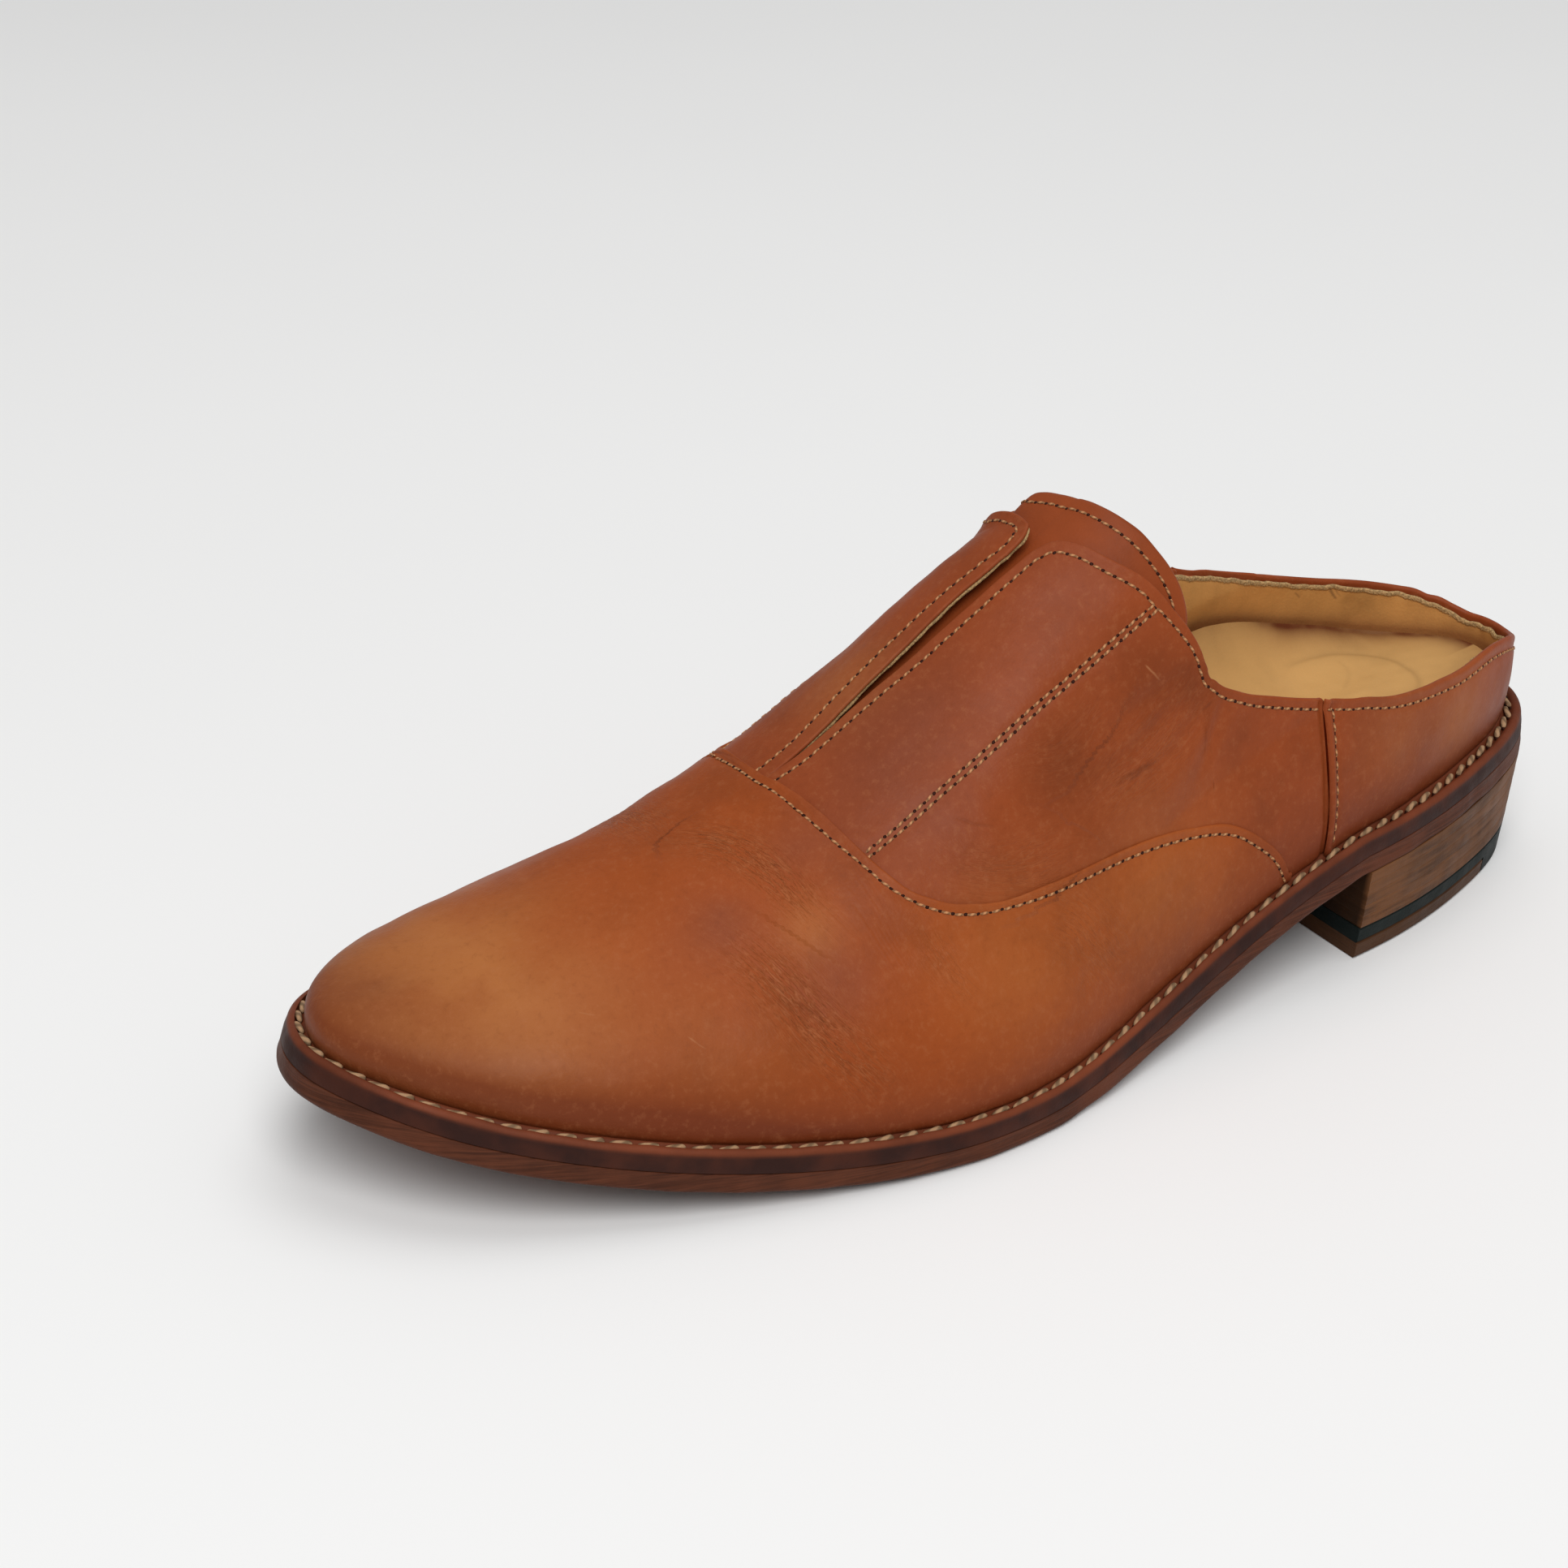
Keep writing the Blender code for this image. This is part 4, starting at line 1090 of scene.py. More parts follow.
DOUBLE_ROW = ((0.1880, 0.640), (0.1863, 0.642), (0.1706, 0.642), (0.1509, 0.623), (0.1311, 0.597))
DOUBLE_ROW_END = ((0.1163, 0.583), (0.1195, 0.586))  # lateral, medial
ROW_GAP = 0.00125


def beside_line(turn, share, shift):
    """Line on the last's skin, moved along it by `shift`, square to itself, towards the crest."""
    line = skin(turn, share, 0.0)
    tangent = unit(np.gradient(line, axis=0))
    sideways = unit(np.cross(last_normal(turn, share), tangent))
    sideways *= np.sign(np.sum(sideways[:, 2]))
    return line + sideways * np.broadcast_to(shift, len(line))[:, None]


def seam_line(side, places, shift=0.0, count=160):
    """Smooth line through (along, share) places, moved by `shift` towards the crest."""
    places = np.array(places)
    k = np.linspace(0.0, len(places) - 1.0, count)
    table = np.column_stack([np.arange(len(places)), places])
    return beside_line(side_turn(side, column_value(table, k, 1)), column_value(table, k, 2), shift)


def vamp_seam_line():
    """The vamp's stitched line from the outer feather over the crest to the inner feather."""
    halves = [seam_line(side, places) for side, places in ((OUTER, VAMP_SEAM), (INNER, VAMP_SEAM_INNER))]
    return np.concatenate([halves[0][:-1], halves[1][::-1]])


def top_line(turns):
    """Whether a column is closed at the crest, and the share at which it ends: just short of the crest
    beside the slit."""
    closed = along_of(turns) >= THROAT - 1e-5
    return closed, np.where(closed, 1.0, np.minimum(by_side(FREE_EDGE, turns), 0.9995))


def panel_relief(seams, size=0.00012, seed=1):
    """Function of a panel's relief: slow unevenness, fine ripples in its wrinkle bands, and a shallow
    groove pressed in by each seam."""
    def relief(points, _):
        height = size * soft_noise(points, 0.016, seed) + 0.4 * size * soft_noise(points, 0.006, seed + 7)
        flow, flex = wrinkle_flow(points)
        wobble = 0.0006 * soft_noise(points, 0.011, seed + 3)
        height += 0.00004 * flex * np.sin((flow[..., 1] + wobble) * 2.0 * np.pi / 0.0023)
        for seam in seams:
            near = size_of(points[..., None, :] - seam[::8]).min(axis=-1) < 0.008
            distance = near_path(points[near], seam)[0]
            height[near] -= SEAM_DIP * bell(distance, SEAM_DIP_WIDTH)
        return height
    return relief


def build_vamp(material):
    """Vamp from its wing ends round the toe: outside only a thin skived layer, as one sheet that is
    closed along the crest in front of the slit."""
    half = even_turns(float(turn_of(VAMP_EDGE[0, 0])), np.pi, 262)
    turns = np.concatenate([half, 2.0 * np.pi - half[-2::-1]])
    high = by_side(VAMP_EDGE, turns)
    closed = along_of(turns) >= VAMP_EDGE[-2, 0] - 1e-5
    first = np.argmax(closed)
    turns[first] = turn_of(VAMP_EDGE[-2, 0])
    turns[-1 - first] = 2.0 * np.pi - turns[first]
    high = np.where(closed, 1.0, np.minimum(high, 0.9995))
    shares, distance = fit_rows(turns, 0.0, np.maximum(high, 0.012), NEAR_EDGE, 104)
    seams = [vamp_seam_line()]
    mirror = np.arange(len(turns))[::-1]
    # The painted shade towards the welt reaches higher round the toe.
    seat = feather_point(turns, 0.0)[:, 2] + 0.0060 * step_up(along_of(turns), 0.190, 0.245)
    return wall_panel("vamp", turns, shares, distance, material, 0.0, VAMP_THICKNESS, mirror=mirror,
                      closed=closed, relief=panel_relief(seams, 0.00013, 11), inner_step=8, seat=seat)


def build_quarters(material):
    """Both quarters and the facings: from under the counter to under the vamp, joined at the crest
    in front of the slit. The medial edge of the slit is the raised flap."""
    start = float(turn_of(SIDE_SEAM - COUNTER_OVERLAP + 0.0005))
    crowd = TOP_LINE_BENDS + ((SIDE_SEAM, 0.0025, 3.0),)
    half = even_turns(start, float(turn_of(0.2040)), 232, crowd=crowd)
    throat = np.argmin(np.abs(along_of(half) - THROAT))
    half[throat] = turn_of(THROAT)
    turns = np.concatenate([half, 2.0 * np.pi - half[::-1]])
    count = len(half)
    groups = [slice(0, count), slice(count, 2 * count)]
    closed, high = top_line(turns)
    edge = by_side(VAMP_EDGE, turns)
    low = np.where(along_of(turns) < 0.094, 0.0, np.clip(edge - 0.10, 0.0, 0.86))
    back = 0.0008 * step_up(SIDE_SEAM - along_of(turns), -0.0003, 0.0005)
    pieces = [fit_rows(turns[g], low[g], high[g], NEAR_EDGE, 96, back[g]) for g in groups]
    shares = np.concatenate([piece[0] for piece in pieces], axis=1)
    distance = np.concatenate([piece[1] for piece in pieces], axis=1)
    base = panel_relief(quarter_rows(), 0.00013, 21)
    mirror = np.arange(len(turns))[::-1]
    groove = bell(along_of(turns) - SIDE_SEAM - 0.0003, 0.0007)

    def relief(points, edge_distance):
        return base(points, edge_distance) - 0.0004 * groove

    return wall_panel("quarters", turns, shares, distance, material, QUARTER_DEPTH, QUARTER_THICKNESS,
                      groups=groups, mirror=mirror, closed=closed, relief=relief, inner_step=6, flap=True)


def build_counter(material):
    """Heel counter, wrapped round the heel over the back of both quarters, with a stepped front edge."""
    half = even_turns(0.0, float(turn_of(SIDE_SEAM)), 142, crowd=((SIDE_SEAM, 0.0035, 4.0),))
    turns = np.concatenate([-half[::-1], half[1:]])
    high = by_side(FREE_EDGE, turns)
    shares, distance = fit_rows(turns, 0.0, high, NEAR_EDGE, 40)
    along = along_of(turns)
    thickness = 0.0006 + 0.0009 * step_up(SIDE_SEAM - COUNTER_OVERLAP - 0.0001 - along, 0.0, 0.030)
    front = np.abs(SIDE_SEAM - along)
    radius = 0.00045
    short = held(1.0 - front / radius)
    ridge = 0.0005 * bell(front - 0.0009, 0.0008) - radius * (1.0 - np.sqrt(1.0 - short**2))
    base = panel_relief(counter_rows(), 0.00012, 31)

    def relief(points, edge_distance):
        return ridge + base(points, edge_distance)

    return wall_panel("counter", turns, shares, distance, material, COUNTER_DEPTH, thickness, relief=relief)


def build_lining(material):
    """Lining: one sheet inside the whole shoe. Its bare edge ends a little below the rim, and is uneven."""
    turns = round_turns(680, TOP_LINE_BENDS)
    throat = np.argmin(np.abs(along_of(turns[:340]) - THROAT))
    turns[throat] = -turn_of(THROAT)
    turns[-throat] = turn_of(THROAT)
    closed, high = top_line(turns)
    rim = last_surface(turns, high, 0.0)
    ragged = LINING_DROP + 0.00022 * soft_noise(rim, 0.005, 41) + 0.00012 * soft_noise(rim, 0.0022, 42)
    at_flap = step_up(along_of(turns), 0.1270, 0.1320) * (np.sin(turns) < 0.0)
    ragged = ragged - LINING_DROP * at_flap
    back = np.where(closed, 0.0, ragged * step_up(THROAT - along_of(turns), 0.0, 0.004))
    shares, distance = fit_rows(turns, 0.0, high, (0.0, 0.0005, 0.0012, 0.002, 0.003), 44, back)
    mirror = (len(turns) - np.arange(len(turns))) % len(turns)

    def relief(points, edge_distance):
        lumps = 0.00018 * soft_noise(points, 0.0028, 44) * bell(edge_distance, 0.0016)
        return 0.0001 * soft_noise(points, 0.012, 43) + lumps

    inside = WALL + INSOLE_CLEARANCE
    # Where the lining meets the footbed: its painted contact shadow is darkest there.
    seat = share_at_height(turns, by_side(FOOTBED[:, :3], turns), inside)
    return wall_panel("lining", turns, shares, distance, material, LINING_DEPTH, LINING_THICKNESS,
                      mirror=mirror, closed=closed, relief=relief, periodic=True, inner_step=1, tuck=0.0006,
                      flap=True, seat=last_surface(turns, seat, inside)[:, 2], shade_reach=0.0022)


def build_footbed(material):
    """Footbed: a plug inside the welt, a moulded side against the lining, a rounded edge and a dished
    top with the outline of a heel pad pressed into it. Inside it sweeps up the wall as an arch support:
    the sweep grows with a power of the distance from the middle line."""
    turns = round_turns(560)
    along = along_of(turns)
    inside = WALL + INSOLE_CLEARANCE

    def side_ring(turn, rise, inset):
        return last_surface(turn, share_at_height(turn, rise, inside + inset), inside + inset)

    plug = WELT_INNER + GAP
    base = OUTSOLE_THICKNESS + GAP
    rings = [above_tread(plan_ring(turns, plug, share), base) for share in (0.12, 0.6, 1.0)]
    rings.append(above_tread(plan_ring(turns, plug, 1.0), WELT_TOP))
    rise = by_side(FOOTBED[:, :3], turns)
    sweep = rise - column_value(FOOTBED, along, 1)
    rings += [side_ring(turns, part * rise, inset) for part, inset in
              ((0.35, 0.0), (0.6, 0.0), (0.8, 0.0), (0.9, 0.00012), (0.96, 0.0003), (1.0, 0.0008))]
    middle_turn = turn_of(spine_along(turns))
    middle_rise = column_value(FOOTBED, spine_along(turns), 1)
    middle = 0.5 * sum(side_ring(turn, middle_rise, 0.0008) for turn in (middle_turn, -middle_turn))
    edge = rings[-1]
    dish = column_value(FOOTBED, along, 3)
    for share in np.linspace(1.0, 0.06, 60)[1:]:
        ring = middle + (edge - middle) * share
        ring[:, 2] -= dish * (1.0 - share**2) + sweep * (share - share**SWEEP_POWER)
        ring[:, 2] += footbed_relief(ring)
        rings.append(ring)
    points = np.array(rings)
    distance = pad_distance(points)
    behind = LENGTH / 2.0 - points[..., 1]
    line = bell(distance, 0.0006) * step_up(0.056 - behind, 0.0, 0.012)
    places = np.array(PAD_CREASE)
    path = np.stack([places[:, 1], LENGTH / 2.0 - places[:, 0], 0.0 * places[:, 0]], -1)
    line = np.maximum(line, 0.7 * bell(near_path(points * (1.0, 1.0, 0.0), path)[0], 0.0006))
    gap = size_of(points - edge)
    # Painted contact shadow along the wall: strong on the inner side at the heel, weaker all round.
    contact_shade = np.exp(-gap / 0.0028) * step_up(0.064 - along, 0.0, 0.020) * (np.sin(turns) < 0.0)
    contact_shade = contact_shade + 0.35 * np.exp(-gap / 0.0040)
    pad = step_up(-distance, -0.001, 0.004)
    marks = np.stack([line, pad, held(contact_shade), np.ones(line.shape)], -1)
    return ring_plate("footbed", rings, material, {"marks": marks})


SWEEP_POWER = 3.2
HEEL_PAD = (0.0428, -0.0108, 0.0150, 0.0118)
PAD_CREASE = ((0.0382, -0.0194), (0.0380, -0.0175), (0.0392, -0.0149), (0.0412, -0.0130), (0.0442, -0.0107))


def pad_distance(points):
    """Distance outside the heel pad's outline, an oval with squared ends (a super-ellipse)."""
    along, x, half_length, half_width = HEEL_PAD
    u = (LENGTH / 2.0 - points[..., 1] - along) / half_length
    v = (points[..., 0] - x) / half_width
    radius = (np.abs(u) ** 2.6 + np.abs(v) ** 2.6) ** (1.0 / 2.6)
    return (radius - 1.0) * half_width


def footbed_relief(points):
    """A pad's thickness inside its outline, with a pressed line round it, and slow unevenness."""
    distance = pad_distance(points)
    pad = 0.00030 * step_up(-distance, -0.0006, 0.0010)
    line = -0.00015 * bell(distance, 0.0008)
    return pad + line + 0.00022 * soft_noise(points, 0.018, 51) + 0.00008 * soft_noise(points, 0.006, 52)


def slab(name, outer, normal, thickness, material):
    """Closed sheet from a grid of outer points: the edge all round is a half circle as thick as it."""
    rows, columns = outer.shape[:2]
    radius = thickness / 2.0
    rim = np.concatenate([
        np.stack([np.zeros(columns, int), np.arange(columns)], -1),
        np.stack([np.arange(1, rows), np.full(rows - 1, columns - 1)], -1),
        np.stack([np.full(columns - 1, rows - 1), np.arange(columns - 2, -1, -1)], -1),
        np.stack([np.arange(rows - 2, 0, -1), np.zeros(rows - 2, int)], -1),
    ])
    r, c = rim.T
    edge = outer[r, c]
    run = unit(np.roll(edge, -1, axis=0) - np.roll(edge, 1, axis=0))
    away = unit(np.cross(run, normal[r, c]))
    inside = outer[np.clip(r, 2, rows - 3), np.clip(c, 2, columns - 3)]
    away *= np.sign(np.sum(away * (edge - inside), axis=-1))[:, None]
    bend = half_circle(SLAB_ROLL_ROWS)
    centre = edge - normal[r, c] * radius
    roll = centre + radius * (normal[r, c] * np.cos(bend) + away * np.sin(bend))
    inner = outer - normal * thickness
    points = np.concatenate([outer.reshape(-1, 3), roll.reshape(-1, 3), inner.reshape(-1, 3)])
    top = np.arange(rows * columns).reshape(rows, columns)
    below = top + rows * columns + len(rim) * SLAB_ROLL_ROWS
    rolls = rows * columns + np.arange(len(rim) * SLAB_ROLL_ROWS).reshape(SLAB_ROLL_ROWS, len(rim))
    band = np.concatenate([top[r, c][None], rolls, below[r, c][None]])
    quads = np.concatenate([grid_quads(top).reshape(-1, 4), grid_quads(below).reshape(-1, 4)[:, ::-1],
                            grid_quads(band, False, True).reshape(-1, 4)])
    return mesh_object(name, points, quads, material, sharp=40.0)


TONGUE_DEPTH = WALL + 0.0009
TONGUE_SWELL = 0.0016
TONGUE_THICKNESS = 0.0018


def tongue_grid(columns, rows):
    """Points and normals of the tongue's outer face: columns across it, bunched at its sides, and rows
    from under the vamp to its rounded top edge. The inner side swells a little near the top."""
    across = np.sin(np.linspace(0.5, -0.5, columns) * np.pi)
    lengthwise = np.linspace(0.0, 1.0, rows)
    share = 1.0 - (1.0 - TONGUE_SIDE_SHARE) * np.abs(across) ** TONGUE_SIDE_POWER
    top = np.where(across >= 0.0, column_value(TONGUE_TOP, np.abs(across), 1),
                   column_value(TONGUE_TOP, np.abs(across), 2))
    front = TONGUE_FRONT - TONGUE_FRONT_CURVE * across**2
    along = front + (top - front) * lengthwise[:, None]
    turns = np.where(across < 0.0, -1.0, 1.0) * turn_of(along)
    swell = TONGUE_SWELL * bell(share - 0.78, 0.085) * step_up(0.134 - along, 0.0, 0.010)
    swell = np.where(across < 0.0, swell, 0.0)
    points = last_surface(turns, share, TONGUE_DEPTH) + swell[..., None] * last_normal(turns, share)
    down, sideways = np.gradient(points, axis=(0, 1))
    normal = unit(np.cross(down, sideways))
    normal *= np.sign(normal[..., 2:].mean())
    return points, normal


def build_tongue(material):
    """Tongue: one slightly uneven sheet with a rounded edge."""
    points, normal = tongue_grid(121, 150)
    height = 0.00012 * soft_noise(points, 0.014, 61)
    points = points + normal * height[..., None]
    return slab("tongue_leather", points, normal, TONGUE_THICKNESS, material)


# ---- seams ----
RIM_MARGIN = np.array([
    # along, margin of the stitches from the top line and the slit: lateral, medial
    [0.0786, 0.0013, 0.0014],
    [0.1020, 0.0013, 0.0014],
    [0.1070, 0.0011, 0.0016],
    [0.1110, 0.0015, 0.0019],
    [0.1200, 0.0020, 0.0020],
    [0.1290, 0.0017, 0.0018],
    [0.1345, 0.0016, 0.0014],
    [0.1400, 0.0018, 0.0017],
    [0.1500, 0.0021, 0.0027],
    [0.1920, 0.0021, 0.0029],
])
COUNTER_ROW = ((0.0770, 0.010), (0.0766, 0.080), (0.0766, 0.150), (0.0763, 0.207))


def counter_rows():
    """Stitched lines of the counter: both fronts and one under its rim, round the heel."""
    end = float(turn_of(SIDE_SEAM - 0.0004))
    turns = np.linspace(-end, end, 400)
    rim = beside_line(turns, by_side(FREE_EDGE, turns), -COUNTER_MARGIN)
    return [seam_line(OUTER, COUNTER_ROW), seam_line(INNER, COUNTER_ROW), rim]


def quarter_rows():
    """Stitched lines of both quarters: below the top line and beside the slit, and the double rows."""
    rows = []
    for side in (OUTER, INNER):
        column = 1 if side > 0 else 2
        start, end = turn_of(RIM_MARGIN[[0, -1], 0])
        along = along_of(even_turns(start, end, 420, crowd=TOP_LINE_BENDS))
        turn = side_turn(side, along)
        margin = column_value(RIM_MARGIN, along, column)
        share = np.minimum(column_value(FREE_EDGE, along, column), 0.9985)
        rim = beside_line(turn, share, -margin) + flap_move(turn, margin)
        double = DOUBLE_ROW + (DOUBLE_ROW_END[column - 1],)
        rows += [smooth_line(rim, 9), seam_line(side, double), seam_line(side, double, -ROW_GAP)]
    return rows


def smooth_line(line, width):
    """Running mean of a line's points, without moving its ends."""
    padded = np.pad(line, ((width // 2, width // 2), (0, 0)), mode="edge")
    kernel = np.ones(width) / width
    return np.stack([np.convolve(padded[:, k], kernel, mode="valid") for k in range(3)], -1)


def tongue_row():
    """Line inside the tongue's edge: up one side, across the top and down the other, moved inwards."""
    points, normal = tongue_grid(121, 150)
    picked = [(slice(96, 149, 2), 120), (149, slice(120, None, -2)), (slice(148, 96, -2), 0)]
    rim, outward = (np.concatenate([grid[where] for where in picked]) for grid in (points, normal))
    run = run_along(rim)
    at = np.linspace(0.0, run[-1], 240)
    rim, outward = points_at(rim, run, at), points_at(outward, run, at)
    tangent = unit(np.gradient(rim, axis=0))
    inwards = unit(np.cross(outward, tangent))
    inwards *= np.sign(np.sum(inwards * (rim.mean(axis=0) - rim)))
    return smooth_line(rim + inwards * TONGUE_MARGIN, 9)


def even_points(line, pitch):
    """Points at even distances along a line, and its direction there."""
    run = run_along(line)
    count = max(int(run[-1] / pitch), 1)
    at = (np.arange(count) + 0.5) * run[-1] / count
    step = 0.0008
    return points_at(line, run, at), unit(points_at(line, run, at + step) - points_at(line, run, at - step))


def surface_tree(piece):
    """Search tree of a piece's faces."""
    mesh = piece.data
    corners = np.empty(len(mesh.vertices) * 3)
    mesh.vertices.foreach_get("co", corners)
    faces = [list(face.vertices) for face in mesh.polygons]
    return BVHTree.FromPolygons(corners.reshape(-1, 3).tolist(), faces)


def settle(places, outward, tree):
    """Places moved onto a piece's outer face, and the face's direction there."""
    found = [tree.ray_cast(Vector(p + 0.004 * n), Vector(-n), 0.02) for p, n in zip(places, outward)]
    spots, normals = [], []
    for hit, place, normal in zip(found, places, outward):
        spots.append(hit[0] if hit[0] is not None else place)
        normals.append(hit[1] if hit[1] is not None and hit[1].dot(Vector(normal)) > 0.3 else normal)
    return np.array(spots), unit(np.array(normals))


def slanted(directions, normals, slant, draw):
    """Directions turned aside on a surface, by a mean and a spread."""
    directions = unit(directions - normals * np.sum(directions * normals, -1)[:, None])
    side = np.cross(normals, directions)
    return unit(directions + side * draw.normal(*slant, (len(side), 1)))


def thread_mesh(name, places, directions, normals, length, radius, material, stations, sides, slant,
                spread, arch, ply=0.0, flow_length=None, seed=5):
    """Stitches: each is a thread that rises from its hole, lies flat and dips again. Its radius falls to
    nothing at both ends. `stations` run along it from 0 to 1, `slant` is its mean turn from the seam
    with its spread, and `spread` the range of its length. `arch` gives its middle's height over its own
    radius as crown * (1 - |2u - 1|^power) - depth. `ply` makes it two round lobes that turn along it."""
    draw = np.random.default_rng(seed)
    count, u = len(places), np.asarray(stations)
    v = np.arange(sides) * 2.0 * np.pi / sides
    directions = slanted(directions, normals, slant, draw)
    side = np.cross(normals, directions)
    size = length * draw.uniform(*spread, count)
    crown, power, depth = arch
    ends = np.abs(2.0 * u - 1.0)
    swell = (1.0 - ends**5.0) ** 0.5
    height = radius * (crown * (1.0 - ends**power) - depth)
    twist = (3.3 * u)[None, :] + draw.uniform(0.0, 6.0, (count, 1)) if ply else np.zeros((count, len(u)))
    turn = v - twist[..., None]
    lobe = 1.0 + ply * np.cos(2.0 * turn)
    centre = places[:, None] + directions[:, None] * ((u - 0.5)[None] * size[:, None])[..., None]
    centre = centre + normals[:, None] * height[None, :, None]
    tube = (radius * swell[None, :, None] * lobe)[..., None] * (
        side[:, None, None] * np.cos(v)[None, None, :, None]
        + 0.85 * normals[:, None, None] * np.sin(v)[None, None, :, None])
    index = np.arange(turn.size).reshape(turn.shape)
    index[:, 0] = index[:, 0, :1]
    index[:, -1] = index[:, -1, :1]
    ahead = np.roll(index, -1, axis=2)
    quads = np.stack([index[:, :-1], index[:, 1:], ahead[:, 1:], ahead[:, :-1]], -1)
    along = u[None, :, None] * (flow_length or length) + np.arange(count)[:, None, None] * 0.01
    flow = np.stack([np.broadcast_to(along, turn.shape), turn * radius], -1)
    return mesh_object(name, centre[:, :, None] + tube, quads, material, layers={"Flow": flow})


def hole_mesh(name, places, directions, normals, material, long=0.00045, wide=0.00035):
    """Needle holes: low lenses of painted shade between the stitches, a little aslant."""
    directions = unit(directions + np.cross(normals, directions) * HOLE_SLANT)
    side = np.cross(normals, directions)
    k = np.arange(10)
    v = k * np.pi / 5.0
    ring = (directions[:, None] * long * np.cos(v)[None, :, None]
            + side[:, None] * wide * np.sin(v)[None, :, None]) + places[:, None]
    top, low = (places + normals * height for height in (0.00007, -0.0002))
    points = np.concatenate([ring, top[:, None], low[:, None]], axis=1)
    start = np.arange(len(places))[:, None] * 12
    here, after = start + k, start + (k + 1) % 10
    upper, lower = start + 10 + 0 * k, start + 11 + 0 * k
    quads = [np.stack([here, after, upper, upper], -1), np.stack([after, here, lower, lower], -1)]
    return mesh_object(name, points, np.concatenate(quads), material)


HOLE_SLANT = 0.30
STITCH_COVER = 0.80  # share of the pitch that a thread covers
STITCH = {"stations": (0.0, 0.06, 0.22, 0.5, 0.78, 0.94, 1.0), "sides": 8, "slant": (0.08, 0.05),
          "spread": (0.92, 1.06), "arch": (1.3, 5.0, 0.9), "seed": 5}


def sew(name, lines, panel, sizes, thread, hole, slot):
    """Stitches and needle holes of some seam lines on a panel."""
    tree = surface_tree(panel)
    parts, gaps = [], []
    for line in lines:
        place, direction = even_points(line, sizes.stitch_pitch)
        middle = 0.5 * (place[1:] + place[:-1])
        for found, spots, ways in ((parts, place, direction), (gaps, middle, direction[1:])):
            spot, normal = settle(spots, outward_of(spots), tree)
            found.append((spot, ways, normal))
    stitches, holes = ([np.concatenate(rows) for rows in zip(*found)] for found in (parts, gaps))
    finish_piece(thread_mesh(name, *stitches, sizes.stitch_pitch * STITCH_COVER, sizes.thread_thickness / 2.0,
                             thread, **STITCH), slot)
    finish_piece(hole_mesh(name + "_holes", *holes, hole), slot)


def outward_of(points):
    """Direction away from the shoe's middle line, for points on its upper."""
    middle = np.stack([np.full(len(points), -0.006), points[:, 1], np.full(len(points), 0.030)], -1)
    return unit(points - middle)


WELT_COVER = 0.99
WELT_STITCH = {"stations": np.linspace(0.0, 1.0, 11), "sides": 12, "slant": (0.24, 0.03),
               "spread": (0.95, 1.05), "arch": (1.10, 6.0, 0.55), "ply": 0.09,
               "flow_length": 0.0035, "seed": 7}


def welt_stitches(sizes, material, hole):
    """Thick two-ply stitches in the welt's groove, and the holes between them."""
    turns = np.linspace(-np.pi, np.pi, 6001)
    line = above_tread(outline(turns, groove_inset(turns)), WELT_TOP - 0.0006)
    place, direction = even_points(line, sizes.welt_pitch)
    side = unit(np.cross([0.0, 0.0, 1.0], direction))
    normal = np.cross(direction, side)
    draw = np.random.default_rng(WELT_STITCH["seed"])
    ways = slanted(direction, normal, WELT_STITCH["slant"], draw)
    gaps = place + ways * 0.5 * sizes.welt_pitch + normal * 0.00010
    finish_piece(hole_mesh("welt_holes", gaps, ways, normal, hole, 0.0008, 0.0005), "welt_leather")
    return thread_mesh("welt_stitches", place, direction, normal, sizes.welt_pitch * WELT_COVER,
                       sizes.welt_thread / 2.0, material, **WELT_STITCH)


